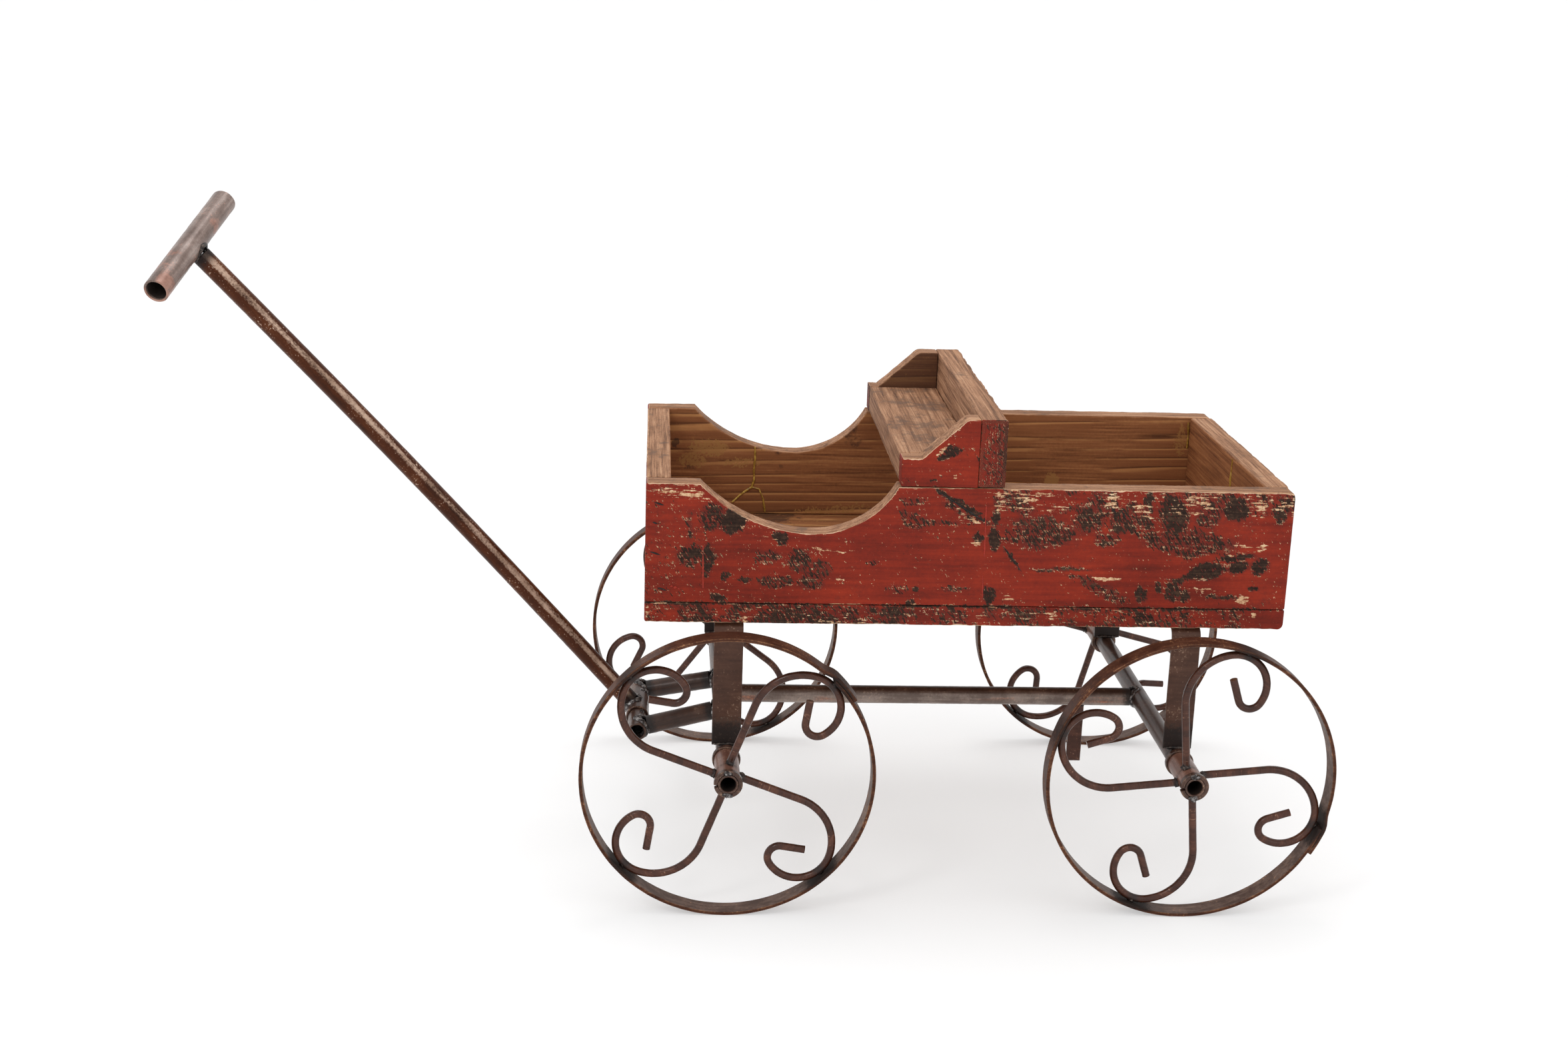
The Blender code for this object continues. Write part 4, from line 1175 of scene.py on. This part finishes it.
def build_handle():
    along, grip = handle_directions()
    up = (Vector((0, 0, 1)) - along * along.z).normalized()
    open_tube("handle_sleeve_worn", "handle", GEAR_STEEL, PIVOT, (0, 1, 0),
              2 * SLEEVE_HALF, SLEEVE_RADIUS, BORE_RADIUS, ("handle_sleeve",), 70.0, dent=0.2 * MM)
    trim = SLEEVE_RADIUS + GAP + TUBE_RADIUS * 0.12
    first, last = trim, HANDLE_LENGTH - trim
    count = 150

    def on_axis(at):
        return PIVOT + along * at + up * HANDLE_BOW * sin(pi * at / HANDLE_LENGTH)

    points = [on_axis(first + (last - first) * i / count) for i in range(count + 1)]

    def marks(spot, reached, length):
        from_end = min(reached, length - reached)
        out = (spot - on_axis(first + reached)).normalized()
        # painted highlight over speckled wear: the rubbed pale stripe runs along the side of the tube
        # that faces the camera and the key lamp
        rub_and_highlight_stripe = out.dot((up * 0.55 + Vector((0, 1, 0)) * 0.84).normalized())
        soot = max(0.0, 0.9 - from_end / (20 * MM))
        return soot, 0.0, 6.5 * (1.0 - rub_and_highlight_stripe) - 0.20, 0.0
    round_bar("handle_tube_worn", "handle", HANDLE_STEEL, points, TUBE_RADIUS, ("handle_tube",),
              71.0, 0.10 * MM, marks)
    sleeve_ring = saddle((0, 1, 0), PIVOT, SLEEVE_RADIUS, along, PIVOT + along * trim, TUBE_RADIUS)
    bead("handle_foot_weld", "handle", BRIGHT_WELD, sleeve_ring, 2.6 * MM, 72.0, True)
    grip_middle = PIVOT + along * HANDLE_LENGTH

    def patchy(spot, values, i):
        if not values["soot"][i]:
            lean = (spot - grip_middle).normalized().dot(Vector((0.6, 0.0, -0.5)))
            values["edge"][i] = 0.35 - 1.1 * lean + 1.9 * fbm(spot, 42, 2)
            values["soot"][i] = max(0.0, 0.5 - (spot - grip_middle + along * 8 * MM).length / 0.045)
    open_tube("grip_tube_worn", "handle", GRIP_STEEL, grip_middle, grip, GRIP_LENGTH,
              SLEEVE_RADIUS, BORE_RADIUS, ("grip_tube",), 73.0, dent=0.18 * MM, extra=patchy)
    grip_ring = saddle(grip, grip_middle, SLEEVE_RADIUS, -along,
                       grip_middle - along * trim, TUBE_RADIUS)
    bead("handle_grip_weld", "handle", DARK_WELD, grip_ring, 2.0 * MM, 74.0, True)


# ---- small things on the box ----------------------------------------------------------------
# In millimetres: (behind the box's front, above its underside, half length, half width, and the
# fall towards the rear in degrees).
NAIL_SLITS = ((10.8, 100.8, 4.0, 0.75, 18), (7.8, 84.6, 2.2, 0.75, 18), (8.3, 59.0, 4.5, 0.75, 18),
              (14.4, 28.6, 3.8, 0.75, 18))
SCORES = ((256.5, 102.5, 25.0, 0.60, 32.0), (302.0, 57.5, 13.0, 0.45, 53.0),
          (382.0, 101.0, 5.0, 0.45, 56.0), (391.0, 97.0, 4.5, 0.45, 58.0))


def build_cuts():
    """Slanting slits that nails left at the front ends, and long scores on the left side."""
    for kind, side, sign, cuts in (("nail", "left", 1, NAIL_SLITS), ("nail", "right", -1, NAIL_SLITS),
                                   ("score", "left", 1, SCORES)):
        for number, (behind, above, half, radius, fall) in enumerate(cuts):
            middle = on_box(behind, sign * (HALF_WIDTH - 0.10 * MM), above)
            along_it = Vector((-cos(radians(fall)), 0.0, -sin(radians(fall))))
            points = [middle + along_it * half * MM * t for t in np.linspace(-1, 1, 15)]

            def radius_at(along, angle):
                return radius * MM * max(0.12, sin(pi * min(1.0, along / (2 * half * MM)))) ** 0.6
            verts, faces, _ = round_sweep(points, radius_at, 8)
            steel_piece("%s_%s_%d" % (kind, side, number + 1), "wagon", BORE, verts, faces, {})


# The knots of each run, in millimetres: (behind the box's front, above its underside) on the
# right board, but (left of the middle, above the underside) for the run on the rear board.
RESIN_RUNS = (((101, 82), (101.4, 72), (100.6, 60), (101, 50), (99, 43)),
              ((99, 43), (93, 39), (87, 34), (81, 28)),
              ((99, 43), (106, 41), (110, 32), (112, 19)),
              ((26, 116), (25, 104), (26, 88), (25.5, 60), (26, 22)),
              ((511, 113), (512, 100), (511.6, 88)))
RUN_ON_REAR_BOARD = 4


def build_resin():
    """Dried resin runs on the inner faces of the right side board and the rear board."""
    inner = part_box("side_board_right")[1].y
    for number, places in enumerate(RESIN_RUNS):
        if number + 1 == RUN_ON_REAR_BOARD:
            knots = [Vector((REAR_BOARD_INNER, left * MM, BOX_BOTTOM + above * MM))
                     for left, above in places]
        else:
            knots = [on_box(behind, inner, above) for behind, above in places]
        points = []
        for a, b in zip(knots, knots[1:]):
            points += straight(a, b, 1.5 * MM)[:-1]
        points.append(knots[-1])

        def radius_at(along, angle):
            return MM * (1.0 + 0.6 * fbm((along, 0.3 * number, 0.0), 130, number + 1.0))
        thin_run("resin_run_%d" % (number + 1), RESIN, points, radius_at)


def build_paint_drips():
    """Thick runs and beads of red paint on the left side."""
    face = HALF_WIDTH - 0.35 * MM
    for number, (behind, high, low) in enumerate(((47, 66, 30), (277, 106, 60), (277.5, 44, 22))):
        def radius_at(along, angle):
            return MM * (0.62 + 0.50 * fbm((along, 0.2 * number, 0.4), 160, number + 2.0))
        points = straight(on_box(behind, face, high), on_box(behind + 0.8, face, low), 1.5 * MM)
        thin_run("paint_run_%d" % (number + 1), PAINT_DRIP, points, radius_at)
    for number, (behind, above, size) in enumerate(((22, 31, 1.3), (25, 30, 1.7), (28, 29, 1.1),
                                                    (16, 78, 0.8), (34, 64, 0.8))):
        def bead_radius_at(along, angle):
            return size * MM * 0.8 * max(0.12, sin(pi * along / (2 * size * MM)))
        points = straight(on_box(behind - size, face, above), on_box(behind + size, face, above),
                          0.5 * MM)
        thin_run("paint_bead_%d" % (number + 1), PAINT_DRIP, points, bead_radius_at)


def finish_screws():
    """The four bracket screws stay as the frame has them, in plain zinc."""
    for label in WHEELS:
        node = frame["nodes"][label + "_screw"]
        node.data.materials.clear()
        node.data.materials.append(SCREW)


# ---- stage ----------------------------------------------------------------------------------
def build_stage():
    """A pale floor that glows a little, so that it reads white round a light shadow, and lamps."""
    mesh = bpy.data.meshes.new("studio_floor")
    half = 60.0
    mesh.from_pydata([(-half, -half, 0), (half, -half, 0), (half, half, 0), (-half, half, 0)], [],
                     [(0, 1, 2, 3)])
    floor = bpy.data.objects.new("studio_floor", mesh)
    bpy.context.scene.collection.objects.link(floor)
    g = Graph("floor_paper")
    mesh.materials.append(g.finish((0.55, 0.55, 0.55, 1.0), 0.8, 0.0, Specular_IOR_Level=0.1,
                                   Emission_Color=(1.0, 1.0, 1.0, 1.0), Emission_Strength=0.42))

    world = bpy.data.worlds.new("studio")
    bpy.context.scene.world = world
    world.use_nodes = True
    world.node_tree.nodes["Background"].inputs["Color"].default_value = (1.0, 1.0, 1.0, 1.0)
    world.node_tree.nodes["Background"].inputs["Strength"].default_value = 1.03
    for name, place, size, power in (("key", (1.3, 1.9, 2.4), 0.7, 13.0),
                                     ("fill", (-1.7, 2.0, 1.3), 1.8, 5.0),
                                     ("top", (-0.1, -0.5, 2.6), 1.2, 12.0)):
        lamp = bpy.data.lights.new(name, "AREA")
        lamp.shape = "DISK"
        lamp.size = size
        lamp.energy = power
        obj = bpy.data.objects.new(name, lamp)
        obj.location = place
        aim = Vector((0.0, 0.0, 0.2)) - Vector(place)
        obj.rotation_euler = aim.to_track_quat("-Z", "Y").to_euler()
        bpy.context.scene.collection.objects.link(obj)
    bpy.context.scene.view_settings.view_transform = "Standard"


def build_camera():
    camera = bpy.data.objects.new("camera", bpy.data.cameras.new("camera"))
    camera.data.sensor_width = 36.0
    camera.data.lens = 48.27
    camera.location = (0.0835, 1.7885, 0.7857)
    camera.rotation_euler = (radians(74.289), radians(-1.818), radians(176.728))
    bpy.context.scene.collection.objects.link(camera)
    bpy.context.scene.camera = camera


WOOD = wood_material()
RIM_STEEL = steel_material("rim_steel", (46, 25, 17), (74, 43, 30), (104, 68, 50), (158, 106, 62),
                           0.55, 0.50, 0.05, shine=0.10)
SCROLL_STEEL = steel_material("scroll_steel", (44, 22, 14), (69, 38, 26), (100, 61, 44),
                              (146, 104, 78), 0.4, 0.30, shine=0.30)
GEAR_STEEL = steel_material("gear_steel", (40, 26, 20), (70, 47, 37), (108, 80, 66),
                            (146, 116, 90), 0.45, 0.36, 0.14, 0.5)
LEG_STEEL = steel_material("leg_steel", (56, 34, 25), (76, 49, 37), (96, 67, 53), (150, 118, 94),
                           0.4, 0.42, shine=0.20)
HUB_STEEL = steel_material("hub_steel", (78, 48, 38), (114, 78, 64), (148, 112, 96),
                           (172, 144, 126), 0.5, 0.38)
HANDLE_STEEL = steel_material("handle_steel", (46, 19, 5), (70, 32, 10), (96, 54, 28),
                              (160, 132, 112), 0.85, 0.34, shine=0.12)
GRIP_STEEL = steel_material("grip_steel", (78, 60, 52), (122, 104, 96), (166, 152, 144),
                            (134, 92, 76), 0.85, 0.36, 0.20)
BRIGHT_WELD = weld_material()
DARK_WELD = lumpy_material("dark_weld", (380.0,), {0.38: (24, 20, 19), 0.55: (52, 43, 39),
                           0.70: (104, 92, 84)}, 0.3, 0.2, 0.5, (0.6, 0.5 * MM))
BORE = lumpy_material("bore_scale", (260.0, 5.0, 0.65), {0.40: (10, 9, 9), 0.58: (30, 27, 26),
                      0.74: (78, 74, 72)}, 0.55, metallic=0.3, bump=(0.5, 0.5 * MM))
RESIN = lumpy_material("resin", (240.0,), {0.38: (128, 92, 34), 0.55: (178, 140, 58),
                       0.70: (206, 176, 96)}, 0.32, bump=(0.3, 0.4 * MM), Coat_Weight=0.4)
PAINT_DRIP = lumpy_material("paint_drip", (300.0,), {0.36: (128, 32, 18), 0.6: (156, 42, 24),
                            0.74: (176, 66, 40)}, 0.36, Specular_IOR_Level=0.3)
SCREW = lumpy_material("screw_zinc", (420.0,), {0.36: (110, 106, 102), 0.66: (176, 173, 168)},
                       0.3, 0.3, 1.0)

build_camera()
build_stage()
build_boards()
build_wheels()
build_axles()
build_brackets()
build_spine()
build_fork()
build_handle()
build_cuts()
build_resin()
build_paint_drips()
finish_screws()
